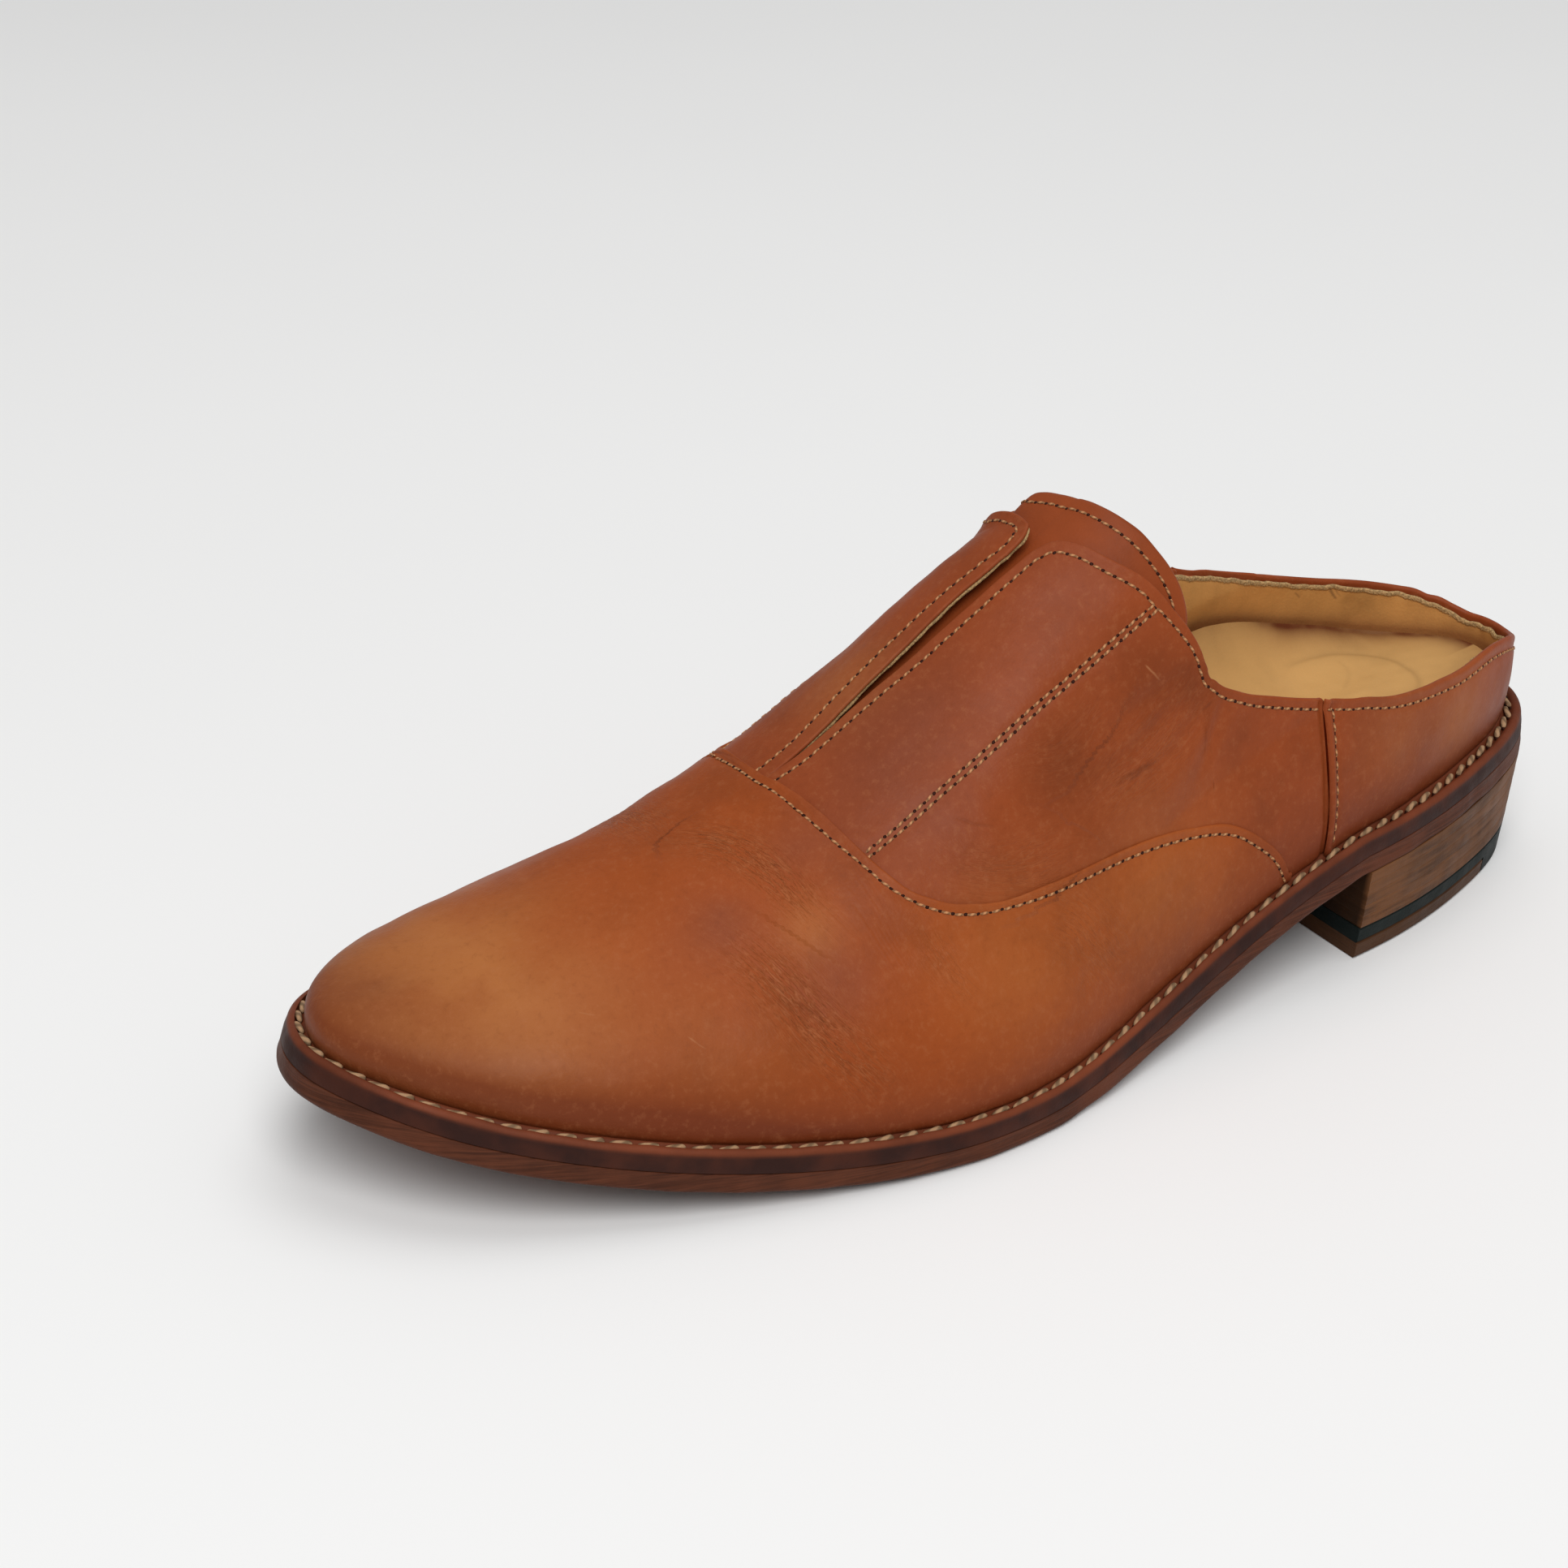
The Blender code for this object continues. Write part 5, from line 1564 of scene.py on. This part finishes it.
# ---- materials ----
class Graph:
    """Adds nodes to a node tree, each with its inputs given as values or as other nodes' outputs."""

    def __init__(self, tree):
        self.tree = tree

    def add(self, kind, inputs=None, **settings):
        """Adds a node and gives its outputs."""
        made = self.tree.nodes.new(kind)
        for name, value in settings.items():
            setattr(made, name, value)
        for name, value in (inputs or {}).items():
            if isinstance(value, bpy.types.NodeSocket):
                self.tree.links.new(value, made.inputs[name])
            else:
                made.inputs[name].default_value = value
        return made.outputs

    def maths(self, operation, *values, clamp=False):
        return self.add("ShaderNodeMath", dict(enumerate(values)), operation=operation, use_clamp=clamp)[0]

    def times(self, first, second, clamp=False):
        return self.maths("MULTIPLY", first, second, clamp=clamp)

    def vector(self, operation, *values, **named):
        made = self.add("ShaderNodeVectorMath", dict(enumerate(values), **named), operation=operation)
        return made["Value" if operation in ("LENGTH", "DOT_PRODUCT") else "Vector"]

    def noise(self, vector, scale, detail=3.0, roughness=0.55, distortion=0.0):
        return self.add("ShaderNodeTexNoise", {"Vector": vector, "Scale": scale, "Detail": detail,
                                               "Roughness": roughness, "Distortion": distortion})[0]

    def ease(self, value, low, high, to_low=0.0, to_high=1.0):
        return self.add("ShaderNodeMapRange", {"Value": value, "From Min": low, "From Max": high,
                                               "To Min": to_low, "To Max": to_high},
                        interpolation_type="SMOOTHSTEP")[0]

    def mix(self, factor, first, second):
        return self.add("ShaderNodeMix", {0: factor, 6: first, 7: second}, data_type="RGBA")[2]

    def tint(self, color, mask, amount, tone):
        """A colour drawn towards a tone where a mask is."""
        return self.mix(self.times(mask, amount), color, tone)

    def stretch(self, vector, scale):
        return self.add("ShaderNodeMapping", {"Vector": vector, "Scale": scale})[0]

    def layer(self, name):
        """Outputs of a colour layer, and its three channels."""
        made = self.add("ShaderNodeAttribute", attribute_name=name)
        return made, self.add("ShaderNodeSeparateColor", {"Color": made["Color"]})

    def group(self, tree, inputs):
        return self.add("ShaderNodeGroup", inputs, node_tree=tree)

    def clouds(self, place, base, light, dark, amount):
        return self.group(cloud_group(), {"Vector": place, "Base": base, "Light": light, "Dark": dark,
                                          "Amount": amount})[0]

    def grain(self, place, depth):
        return self.group(grain_group(), {"Vector": place, "Depth": depth})[0]


def shader_group(name, inputs, outputs, fill):
    """Node group made once: named sockets, and `fill` adds its nodes and returns its outputs."""
    if name in bpy.data.node_groups:
        return bpy.data.node_groups[name]
    tree = bpy.data.node_groups.new(name, "ShaderNodeTree")
    for way, sockets in (("INPUT", inputs), ("OUTPUT", outputs)):
        for socket, kind in sockets:
            tree.interface.new_socket(socket, in_out=way, socket_type=kind)
    graph = Graph(tree)
    results = fill(graph, graph.add("NodeGroupInput"))
    graph.add("NodeGroupOutput", {socket: result for (socket, _), result in zip(outputs, results)})
    return tree


FLOAT, COLOR, VECTOR = "NodeSocketFloat", "NodeSocketColor", "NodeSocketVector"


def cloud_group():
    """Colour that drifts between three tones in large and small clouds."""
    def fill(g, entry):
        large = g.noise(entry["Vector"], 38.0, 4.0, 0.6)
        small = g.noise(entry["Vector"], 190.0, 4.0, 0.65)
        color = g.tint(entry["Base"], g.ease(large, 0.46, 0.68), entry["Amount"], entry["Light"])
        color = g.tint(color, g.ease(large, 0.50, 0.34), entry["Amount"], entry["Dark"])
        return [g.tint(color, g.ease(small, 0.35, 0.75), g.times(entry["Amount"], 0.35), entry["Light"])]
    return shader_group("Cloudy tone", (("Vector", VECTOR), ("Base", COLOR), ("Light", COLOR),
                                        ("Dark", COLOR), ("Amount", FLOAT)), (("Color", COLOR),), fill)


def grain_group():
    """Fine leather grain in metres of height: small cells with pores and a soft unevenness."""
    def fill(g, entry):
        warp = g.noise(entry["Vector"], 420.0, 2.0)
        cells = {"Vector": entry["Vector"], "Scale": 1500.0, "Smoothness": 0.35}
        cells = g.add("ShaderNodeTexVoronoi", cells, feature="SMOOTH_F1")["Distance"]
        fine = g.noise(entry["Vector"], 2600.0, 3.0, 0.6)
        mix = g.maths("ADD", g.times(cells, -0.5), g.times(fine, 0.6))
        return [g.times(g.maths("ADD", mix, g.times(warp, 0.8)), entry["Depth"])]
    return shader_group("Leather grain", (("Vector", VECTOR), ("Depth", FLOAT)), (("Height", FLOAT),), fill)


def wrinkle_group():
    """Thin ridged lines that run along the flow coordinates: their height and a mask of their crests."""
    def fill(g, entry):
        stretched = g.stretch(entry["Flow"], (1.0, 7.5, 1.0))
        ridges = []
        for scale, detail, distortion, width in ((95.0, 3.0, 0.25, 0.045), (210.0, 2.0, 0.2, 0.06)):
            value = g.noise(stretched, scale, detail, 0.6, distortion)
            ridges.append(g.ease(g.maths("ABSOLUTE", g.maths("SUBTRACT", value, 0.5)), width, 0.0))
        lines = g.maths("MAXIMUM", ridges[0], g.times(ridges[1], 0.6))
        mask = g.times(lines, entry["Flex"], clamp=True)
        return [g.times(mask, -0.00013), mask]
    return shader_group("Wrinkle lines", (("Flow", VECTOR), ("Flex", FLOAT)),
                        (("Height", FLOAT), ("Lines", FLOAT)), fill)


def mark_group():
    """Mask of a straight mark: a bell across a segment from a place on, thinner towards both ends. Way
    is the segment divided by its squared length."""
    def fill(g, entry):
        offset = g.vector("SUBTRACT", entry["Vector"], entry["From"])
        run = g.maths("ADD", g.vector("DOT_PRODUCT", offset, entry["Way"]), 0.0, clamp=True)
        across = g.vector("SUBTRACT", offset, g.vector("SCALE", entry["Reach"], Scale=run))
        ends = g.times(g.times(run, g.maths("SUBTRACT", 1.0, run)), 4.0)
        near = g.maths("DIVIDE", g.vector("LENGTH", across), entry["Width"])
        return [g.times(g.ease(near, 1.0, 0.0), g.ease(ends, 0.0, 0.7))]
    return shader_group("Straight mark", (("Vector", VECTOR), ("From", VECTOR), ("Reach", VECTOR),
                                          ("Way", VECTOR), ("Width", FLOAT)), (("Mask", FLOAT),), fill)


def marks_on(g, place, marks, depth=0.0):
    """Masks of the creases and scratches of a list, `depth` inside the upper's outer face, each a
    little wavy and broken up."""
    wave = g.add("ShaderNodeTexNoise", {"Vector": place, "Scale": 130.0, "Detail": 2.0})["Color"]
    shift = g.vector("SCALE", g.vector("SUBTRACT", wave, (0.5, 0.5, 0.5)), Scale=0.0020)
    moved = g.vector("ADD", place, shift)
    sums = {"crease": 0.0, "scratch": 0.0}
    for kind, side, width, strength, places in marks:
        ends = [skin(side_turn(side, np.array(along)), np.array(share), depth) for along, share in places]
        reach = ends[1] - ends[0]
        mask = g.group(mark_group(), {"Vector": moved, "From": tuple(ends[0]), "Reach": tuple(reach),
                                      "Way": tuple(reach / np.sum(reach**2)), "Width": width})[0]
        sums[kind] = g.maths("MAXIMUM", sums[kind], g.times(mask, strength))
    broken = g.ease(g.noise(place, 260.0, 3.0), 0.30, 0.60, 0.55, 1.0)
    return [g.times(sums[kind], broken, clamp=True) for kind in ("crease", "scratch")]


def new_material(name, roughness, specular=0.12):
    """Material with its Principled shader, its graph and its Object coordinates."""
    made = bpy.data.materials.new(name)
    made.use_nodes = True
    graph = Graph(made.node_tree)
    shader = made.node_tree.nodes["Principled BSDF"].inputs
    shader["Roughness"].default_value = roughness
    shader["Specular IOR Level"].default_value = specular
    return made, graph, shader, graph.add("ShaderNodeTexCoord")["Object"]


def attach(graph, shader, color, height=None, roughness=None):
    """Colour, bump from a height in metres, and a varying roughness go to the shader."""
    link = graph.tree.links.new
    link(color, shader["Base Color"])
    if roughness is not None:
        link(roughness, shader["Roughness"])
    if height is not None:
        bump = graph.add("ShaderNodeBump", {"Height": height, "Strength": 1.0, "Distance": 1.0})
        link(bump[0], shader["Normal"])


# Painted highlight on the crests of the wrinkle lines.
RIDGE_HIGHLIGHT_TONE = (0.430, 0.160, 0.060, 1.0)
# Painted shade towards the welt.
FEATHER_SHADE_TONE = (0.140, 0.026, 0.008, 1.0)
SPECK_TONE = (0.420, 0.155, 0.062, 1.0)
SCRATCH_TONE = (0.430, 0.180, 0.075, 1.0)
# Painted contact shadow at the lining's foot.
LINING_FOOT_SHADE_TONE = (0.190, 0.040, 0.010, 1.0)
PENCIL_TONE = (0.190, 0.090, 0.035, 1.0)
WELT_SIDE_TONE = (0.030, 0.010, 0.007, 1.0)
# Painted contact shadow on the footbed.
CONTACT_SHADE_TONE = (0.110, 0.026, 0.007, 1.0)
# Needle holes, dark as painted shade.
HOLE_SHADE_TONE = (0.035, 0.009, 0.005, 1.0)


def shade(color, factor):
    """A colour made lighter or darker."""
    return tuple(channel * factor for channel in color[:3]) + (1.0,)


def smooth_leather(name, base, light, dark, marks, ridges=0.30):
    """Waxed smooth leather: clouded colour between two shades of it, ochre patches of polished leather with
    a painted highlight, plum patches with a painted reflection, dark patches of painted shade, flex lines
    with a painted highlight on their crests, painted shade towards the welt, fine mottling, creases
    darkened mostly with painted shade, light scratches, and fine grain."""
    made, g, shader, place = new_material(name, 0.46)
    light, dark = shade(base, light), shade(base, dark)
    _, tone = g.layer("tones")
    build, part = g.layer("build")
    flow = g.add("ShaderNodeUVMap", uv_map="Flow")[0]
    color = g.clouds(place, base, light, dark, 0.32)
    breakup = g.ease(g.noise(place, 70.0, 3.0, 0.55), 0.25, 0.70, 0.70, 1.10)
    # Ochre: polished leather with a painted highlight; plum: with a painted reflection; dark: painted shade.
    patches = ((1.0, colour("burnish_and_highlight")), (0.8, colour("plum")), (0.8, shade(dark, 0.75)))
    for mask, (amount, patch) in zip(tone, patches):
        color = g.tint(color, g.times(mask, breakup, clamp=True), amount, patch)
    lines = g.group(wrinkle_group(), {"Flow": flow, "Flex": part[2]})
    # Painted highlight on the crests of the wrinkle lines.
    color = g.tint(color, lines[1], ridges, RIDGE_HIGHLIGHT_TONE)
    # Painted shade towards the welt, darkest at the feather and fading up the wall.
    color = g.tint(color, build["Alpha"], 0.86, FEATHER_SHADE_TONE)
    mottle = g.noise(place, 620.0, 4.0, 0.68)
    color = g.mix(g.ease(mottle, 0.50, 0.72, 0.0, 0.17), color, SPECK_TONE)
    color = g.mix(g.ease(mottle, 0.48, 0.28, 0.0, 0.15), color, shade(dark, 0.80))
    creases, scratches = marks_on(g, place, marks)
    # Creases darkened: mostly painted shade in the folds, partly real dark marks.
    color = g.tint(color, creases, 0.6, shade(dark, 0.62))
    color = g.tint(color, scratches, 0.75, SCRATCH_TONE)
    height = g.maths("ADD", g.grain(place, 0.00005), g.times(lines[0], ridges / 0.30))
    height = g.maths("SUBTRACT", height, g.times(creases, 0.00030))
    attach(g, shader, color, height, g.ease(g.noise(place, 60.0, 4.0), 0.3, 0.7, 0.40, 0.53))
    return made


def plain_leather(name, base, light, dark, amount=0.6, roughness=0.55, streak=None, marks=()):
    """Leather or rubber without patches: clouded colour between two shades of it, grain, and streaks
    along a direction. `marks` lists colours, with a strength, for the red, green and blue masks of the
    piece's "marks" layer."""
    made, g, shader, place = new_material(name, roughness)
    light, dark = shade(base, light), shade(base, dark)
    color = g.clouds(place, base, light, dark, amount)
    height = g.grain(place, 0.00005)
    if streak is not None:
        lines = g.noise(g.stretch(place, streak), 1.0, 5.0, 0.7)
        color = g.mix(g.ease(lines, 0.42, 0.66, 0.0, 0.55), color, light)
        color = g.mix(g.ease(lines, 0.48, 0.30, 0.0, 0.6), color, dark)
        height = g.maths("ADD", height, g.times(lines, 0.00009))
    if marks:
        uneven = g.ease(g.noise(place, 90.0, 3.0), 0.3, 0.7, 0.8, 1.1)
        for mask, (tone, strength) in zip(g.layer("marks")[1], marks):
            color = g.mix(g.times(g.times(mask, uneven), strength, clamp=True), color, tone)
    rough = g.ease(g.noise(place, 150.0, 4.0), 0.3, 0.7, roughness - 0.07, roughness + 0.08)
    attach(g, shader, color, height, rough)
    return made


def lining_leather(name, base, fleece):
    """Natural lining: clouded tan with soft upright streaks, pencil marks, a painted contact shadow at
    its foot on the footbed, and a pale fuzzy cut edge."""
    made, g, shader, place = new_material(name, 0.7)
    build, part = g.layer("build")
    color = g.clouds(place, base, shade(base, 1.25), shade(base, 0.65), 0.7)
    streaks = g.noise(g.stretch(place, (260.0, 260.0, 60.0)), 1.0, 4.0, 0.6)
    color = g.mix(g.ease(streaks, 0.55, 0.35, 0.0, 0.10), color, shade(base, 0.6))
    # Painted contact shadow at the lining's foot, where it meets the footbed.
    color = g.tint(color, build["Alpha"], 0.70, LINING_FOOT_SHADE_TONE)
    pencil = marks_on(g, place, LINING_MARKS, LINING_DEPTH + LINING_THICKNESS)[0]
    color = g.tint(color, pencil, 0.7, PENCIL_TONE)
    fuzz = g.noise(place, 1700.0, 3.0, 0.7)
    edge = g.ease(g.maths("ADD", part[0], g.times(fuzz, 0.3)), 0.65, 0.90)
    color = g.mix(edge, color, g.mix(g.ease(fuzz, 0.35, 0.65), shade(fleece, 0.5), fleece))
    height = g.maths("ADD", g.grain(place, 0.00006), g.times(g.times(fuzz, edge), 0.0004))
    attach(g, shader, color, height)
    return made


def thread_material(name, color, twist=900.0):
    """Waxed thread: two plies seen as slanting bands, with painted shade between them. `twist` is turns a
    metre.
    """
    made, g, shader, place = new_material(name, 0.6)
    flow = g.add("ShaderNodeSeparateXYZ", {"Vector": g.add("ShaderNodeUVMap", uv_map="Flow")[0]})
    slant = g.maths("ADD", flow[0], g.times(flow[1], 0.8))
    soft = g.ease(g.maths("SINE", g.times(slant, 2.0 * math.pi * twist)), -1.0, 0.6)
    body = g.mix(g.noise(place, 3500.0, 3.0), shade(color, 0.75), shade(color, 1.15))
    # Painted shade between the plies.
    attach(g, shader, g.mix(soft, shade(color, 0.45), body), g.times(soft, 0.00008))
    return made


# ---- settings ----
def colour_property(name, description, *channels):
    """Opaque colour of the sidebar."""
    return bpy.props.FloatVectorProperty(name=name, description=description, default=channels + (1.0,),
                                         subtype="COLOR", size=4, min=0.0, max=1.0)


def size_property(name, description, default):
    """Length of the sidebar, in metres."""
    return bpy.props.FloatProperty(name=name, description=description, default=default,
                                   unit="LENGTH", precision=5)


class MULE_PG_sizes(bpy.types.PropertyGroup):
    stitch_pitch: size_property("Stitch pitch", "Distance between two stitches of the upper", 0.0025)
    thread_thickness: size_property("Thread", "Thickness of the upper's thread", 0.0005)
    welt_pitch: size_property("Welt pitch", "Distance between two stitches of the welt", 0.0049)
    welt_thread: size_property("Welt thread", "Thickness of the welt's thread", 0.0012)


class MULE_PG_colours(bpy.types.PropertyGroup):
    vamp_colour: colour_property("Vamp", "Smooth leather of the vamp", 0.302, 0.061, 0.011)
    quarter_colour: colour_property("Quarters", "Smooth leather of the quarters", 0.262, 0.053, 0.013)
    # Ochre patches: polished leather with a painted highlight.
    burnish_and_highlight_colour: colour_property("Burnish", "Rubbed ochre patches", 0.460, 0.158, 0.042)
    # Plum patches: the leather's own tone with a painted reflection.
    plum_colour: colour_property("Plum", "Plum-brown patches", 0.205, 0.050, 0.022)
    lining_colour: colour_property("Lining", "Natural leather of the lining", 0.600, 0.300, 0.090)
    fleece_colour: colour_property("Lining edge", "Fuzzy cut edge of the lining", 0.600, 0.380, 0.170)
    footbed_colour: colour_property("Footbed", "Natural leather of the footbed", 0.520, 0.290, 0.100)
    upper_thread_colour: colour_property("Upper thread", "Thread of the upper's seams", 0.560, 0.270, 0.120)
    welt_thread_colour: colour_property("Welt thread", "Waxed thread of the welt", 0.470, 0.285, 0.155)
    welt_colour: colour_property("Welt", "Dressed top of the welt", 0.150, 0.036, 0.014)
    sole_colour: colour_property("Outsole", "Dressed edge of the outsole", 0.068, 0.020, 0.009)
    heel_colour: colour_property("Heel", "Stacked leather of the heel", 0.088, 0.035, 0.013)
    rubber_colour: colour_property("Rubber", "Rubber layer of the heel", 0.006, 0.010, 0.009)


def colour(name):
    """One of the sidebar's colours, as plain numbers."""
    return tuple(getattr(bpy.context.scene.mule_colours, name + "_colour"))


class MULE_OT_sole(bpy.types.Operator):
    """Make the outsole, the welt with its lip and groove, and the stacked heel"""
    bl_idname = "mule.sole"
    bl_label = "Sole"

    def execute(self, context):
        leather = plain_leather("outsole leather", colour("sole"), 2.0, 0.6, streak=(60.0, 60.0, 2200.0))
        piece = ring_plate("outsole_leather", outsole_rings(round_turns(900)), leather)
        finish_piece(piece, "sole_leather", "outsole")
        leather = plain_leather("welt leather", colour("welt"), 1.5, 0.5, marks=((WELT_SIDE_TONE, 0.95),))
        finish_piece(build_welt(leather), "welt_leather", "welt")
        heel = colour("heel")
        # The breast face of the stack is painted dark: painted shade.
        leather = plain_leather("stacked leather", heel, 2.3, 0.5, streak=(45.0, 45.0, 620.0),
                                marks=((shade(heel, 0.25), 0.95),))
        rings, marks = heel_stack_rings()
        piece = ring_plate("heel_layers", rings, leather, {"marks": marks})
        finish_piece(piece, "heel_leather", "heel_stack")
        rubber = plain_leather("heel rubber", colour("rubber"), 1.8, 0.6, roughness=0.6)
        leather = plain_leather("lift leather", shade(heel, 0.8), 1.25, 0.625, streak=(90.0, 90.0, 1800.0))
        build_heel_base(rubber, leather)
        return {"FINISHED"}


class MULE_OT_upper(bpy.types.Operator):
    """Make the vamp, the quarters with their slit and flap, and the heel counter"""
    bl_idname = "mule.upper"
    bl_label = "Upper leather"

    def execute(self, context):
        vamp = smooth_leather("vamp leather", colour("vamp"), 1.25, 0.55, VAMP_MARKS)
        quarter = smooth_leather("quarter leather", colour("quarter"), 1.35, 0.6, QUARTER_MARKS, 0.15)
        for piece in (build_vamp(vamp), build_quarters(quarter), build_counter(quarter)):
            finish_piece(piece, "upper_leather", "upper")
        return {"FINISHED"}


class MULE_OT_lining(bpy.types.Operator):
    """Make the lining and the moulded footbed"""
    bl_idname = "mule.lining"
    bl_label = "Lining and footbed"

    def execute(self, context):
        tan = colour("footbed")
        # Footbed marks: the pad's pressed line, its lighter inside, and a painted contact shadow along the
        # wall.
        leather = plain_leather("footbed leather", tan, 1.15, 0.75, amount=0.5, roughness=0.6, marks=(
            (shade(tan, 0.55), 0.35), (shade(tan, 1.25), 0.35), (CONTACT_SHADE_TONE, 0.95)))
        lining = lining_leather("lining leather", colour("lining"), colour("fleece"))
        finish_piece(build_lining(lining), "lining_leather")
        finish_piece(build_footbed(leather), "lining_leather", "insole")
        return {"FINISHED"}


class MULE_OT_tongue(bpy.types.Operator):
    """Make the tongue under the slit"""
    bl_idname = "mule.tongue"
    bl_label = "Tongue"

    def execute(self, context):
        base = shade(colour("quarter"), 0.95)
        leather = plain_leather("tongue leather", base, 1.263, 0.632, roughness=0.48)
        finish_piece(build_tongue(leather), "tongue_leather", "tongue")
        return {"FINISHED"}


class MULE_OT_seams(bpy.types.Operator):
    """Sew the upper: vamp edge, top line, slit, facings, counter and tongue"""
    bl_idname = "mule.seams"
    bl_label = "Seams"

    def execute(self, context):
        thread = thread_material("upper thread", colour("upper_thread"))
        # Needle holes are dark lenses of painted shade.
        hole = plain_leather("needle hole", HOLE_SHADE_TONE, 1.43, 0.60)
        for name, lines, panel, slot in (
                ("vamp_seam", [vamp_seam_line()], "vamp", "upper_leather"),
                ("quarter_seams", quarter_rows(), "quarters", "upper_leather"),
                ("counter_seam", counter_rows(), "counter", "upper_leather"),
                ("tongue_seam", [tongue_row()], "tongue_leather", "tongue_leather")):
            sew(name, lines, bpy.data.objects[panel], context.scene.mule_sizes, thread, hole, slot)
        return {"FINISHED"}


class MULE_OT_welt_seam(bpy.types.Operator):
    """Sew the welt with thick two-ply stitches in its groove"""
    bl_idname = "mule.welt_seam"
    bl_label = "Welt seam"

    def execute(self, context):
        thread = thread_material("welt thread", colour("welt_thread"), 700.0)
        hole = bpy.data.materials["needle hole"]
        finish_piece(welt_stitches(context.scene.mule_sizes, thread, hole), "welt_leather")
        return {"FINISHED"}


CAMERA_AZIMUTH = 58.4
CAMERA_ELEVATION = 26.97
CAMERA_DISTANCE = 0.610
CAMERA_TARGET = (-0.0507, -0.0158, 0.030)
CAMERA_LENS = 67.3
CAMERA_ROLL = 0.3
FLOOR_HALF = 6.0
FLOOR_HEIGHT = -0.0002
LIGHTS = (
    # name, place, size, power
    ("key", (1.5, -0.8, 2.3), 2.0, 50.0),
    ("top", (-0.3, 0.6, 2.8), 2.2, 17.0),
)


class MULE_OT_stage(bpy.types.Operator):
    """Set up the floor, the soft lights and the camera"""
    bl_idname = "mule.stage"
    bl_label = "Stage"

    def execute(self, context):
        scene = context.scene
        scene.view_settings.view_transform = "Standard"
        self.floor()
        self.lights(scene)
        azimuth, elevation = math.radians(CAMERA_AZIMUTH), math.radians(CAMERA_ELEVATION)
        back = Vector((math.sin(azimuth) * math.cos(elevation), -math.cos(azimuth) * math.cos(elevation),
                       math.sin(elevation)))
        data = bpy.data.cameras.new("camera")
        data.lens = CAMERA_LENS
        data.sensor_width = 36.0
        data.clip_start, data.clip_end = 0.01, 50.0
        camera = bpy.data.objects.new("camera", data)
        roll = Euler((0.0, 0.0, math.radians(CAMERA_ROLL))).to_matrix()
        camera.matrix_world = (back.to_track_quat("Z", "Y").to_matrix() @ roll).to_4x4()
        camera.location = Vector(CAMERA_TARGET) + back * CAMERA_DISTANCE
        scene.collection.objects.link(camera)
        scene.camera = camera
        return {"FINISHED"}

    def floor(self):
        """A wide flat sheet just below the sole's lowest point."""
        corners = np.array([[x, y, FLOOR_HEIGHT] for x, y in ((-1, -1), (1, -1), (1, 1), (-1, 1))])
        corners[:, :2] *= FLOOR_HALF
        made, graph, shader, place = new_material("floor", 0.9, 0.5)
        tone = graph.mix(graph.noise(place, 3.0), (0.90, 0.90, 0.895, 1.0), (0.93, 0.93, 0.925, 1.0))
        attach(graph, shader, tone)
        mesh_object("floor", corners, np.array([[0, 1, 2, 3]]), made)

    def lights(self, scene):
        """Pale surroundings, a large soft key on the camera's side, and a weaker light from above."""
        world = bpy.data.worlds.new("surroundings")
        world.use_nodes = True
        background = world.node_tree.nodes["Background"]
        background.inputs[0].default_value = (1.0, 1.0, 1.0, 1.0)
        background.inputs[1].default_value = 0.35
        scene.world = world
        for name, place, size, power in LIGHTS:
            data = bpy.data.lights.new(name, "AREA")
            data.shape = "DISK"
            data.size = size
            data.energy = power
            lamp = bpy.data.objects.new(name, data)
            lamp.location = place
            away = Vector(place) - Vector((0.0, 0.0, 0.03))
            lamp.rotation_euler = away.to_track_quat("Z", "Y").to_euler()
            scene.collection.objects.link(lamp)


OPERATORS = (MULE_OT_sole, MULE_OT_upper, MULE_OT_lining, MULE_OT_tongue, MULE_OT_seams,
             MULE_OT_welt_seam, MULE_OT_stage)


class MULE_PT_panel(bpy.types.Panel):
    bl_label = "Leather Mule"
    bl_idname = "MULE_PT_panel"
    bl_space_type = "VIEW_3D"
    bl_region_type = "UI"
    bl_category = "Mule"

    def draw(self, context):
        for group in (context.scene.mule_sizes, context.scene.mule_colours):
            for name in group.bl_rna.properties.keys():
                if name not in ("rna_type", "name"):
                    self.layout.prop(group, name)
        for operator in OPERATORS:
            self.layout.operator(operator.bl_idname)


CLASSES = (MULE_PG_sizes, MULE_PG_colours) + OPERATORS + (MULE_PT_panel,)


def register():
    """Registers the classes and adds both groups to the scene."""
    for item in CLASSES:
        bpy.utils.register_class(item)
    bpy.types.Scene.mule_sizes = bpy.props.PointerProperty(type=MULE_PG_sizes)
    bpy.types.Scene.mule_colours = bpy.props.PointerProperty(type=MULE_PG_colours)


def unregister():
    """Takes the groups and classes away again."""
    del bpy.types.Scene.mule_sizes
    del bpy.types.Scene.mule_colours
    for item in reversed(CLASSES):
        bpy.utils.unregister_class(item)


def main():
    """Makes the whole shoe through its operators."""
    register()
    for operator in ("sole", "upper", "lining", "tongue", "seams", "welt_seam", "stage"):
        getattr(bpy.ops.mule, operator)()


if __name__ == "__main__":
    main()
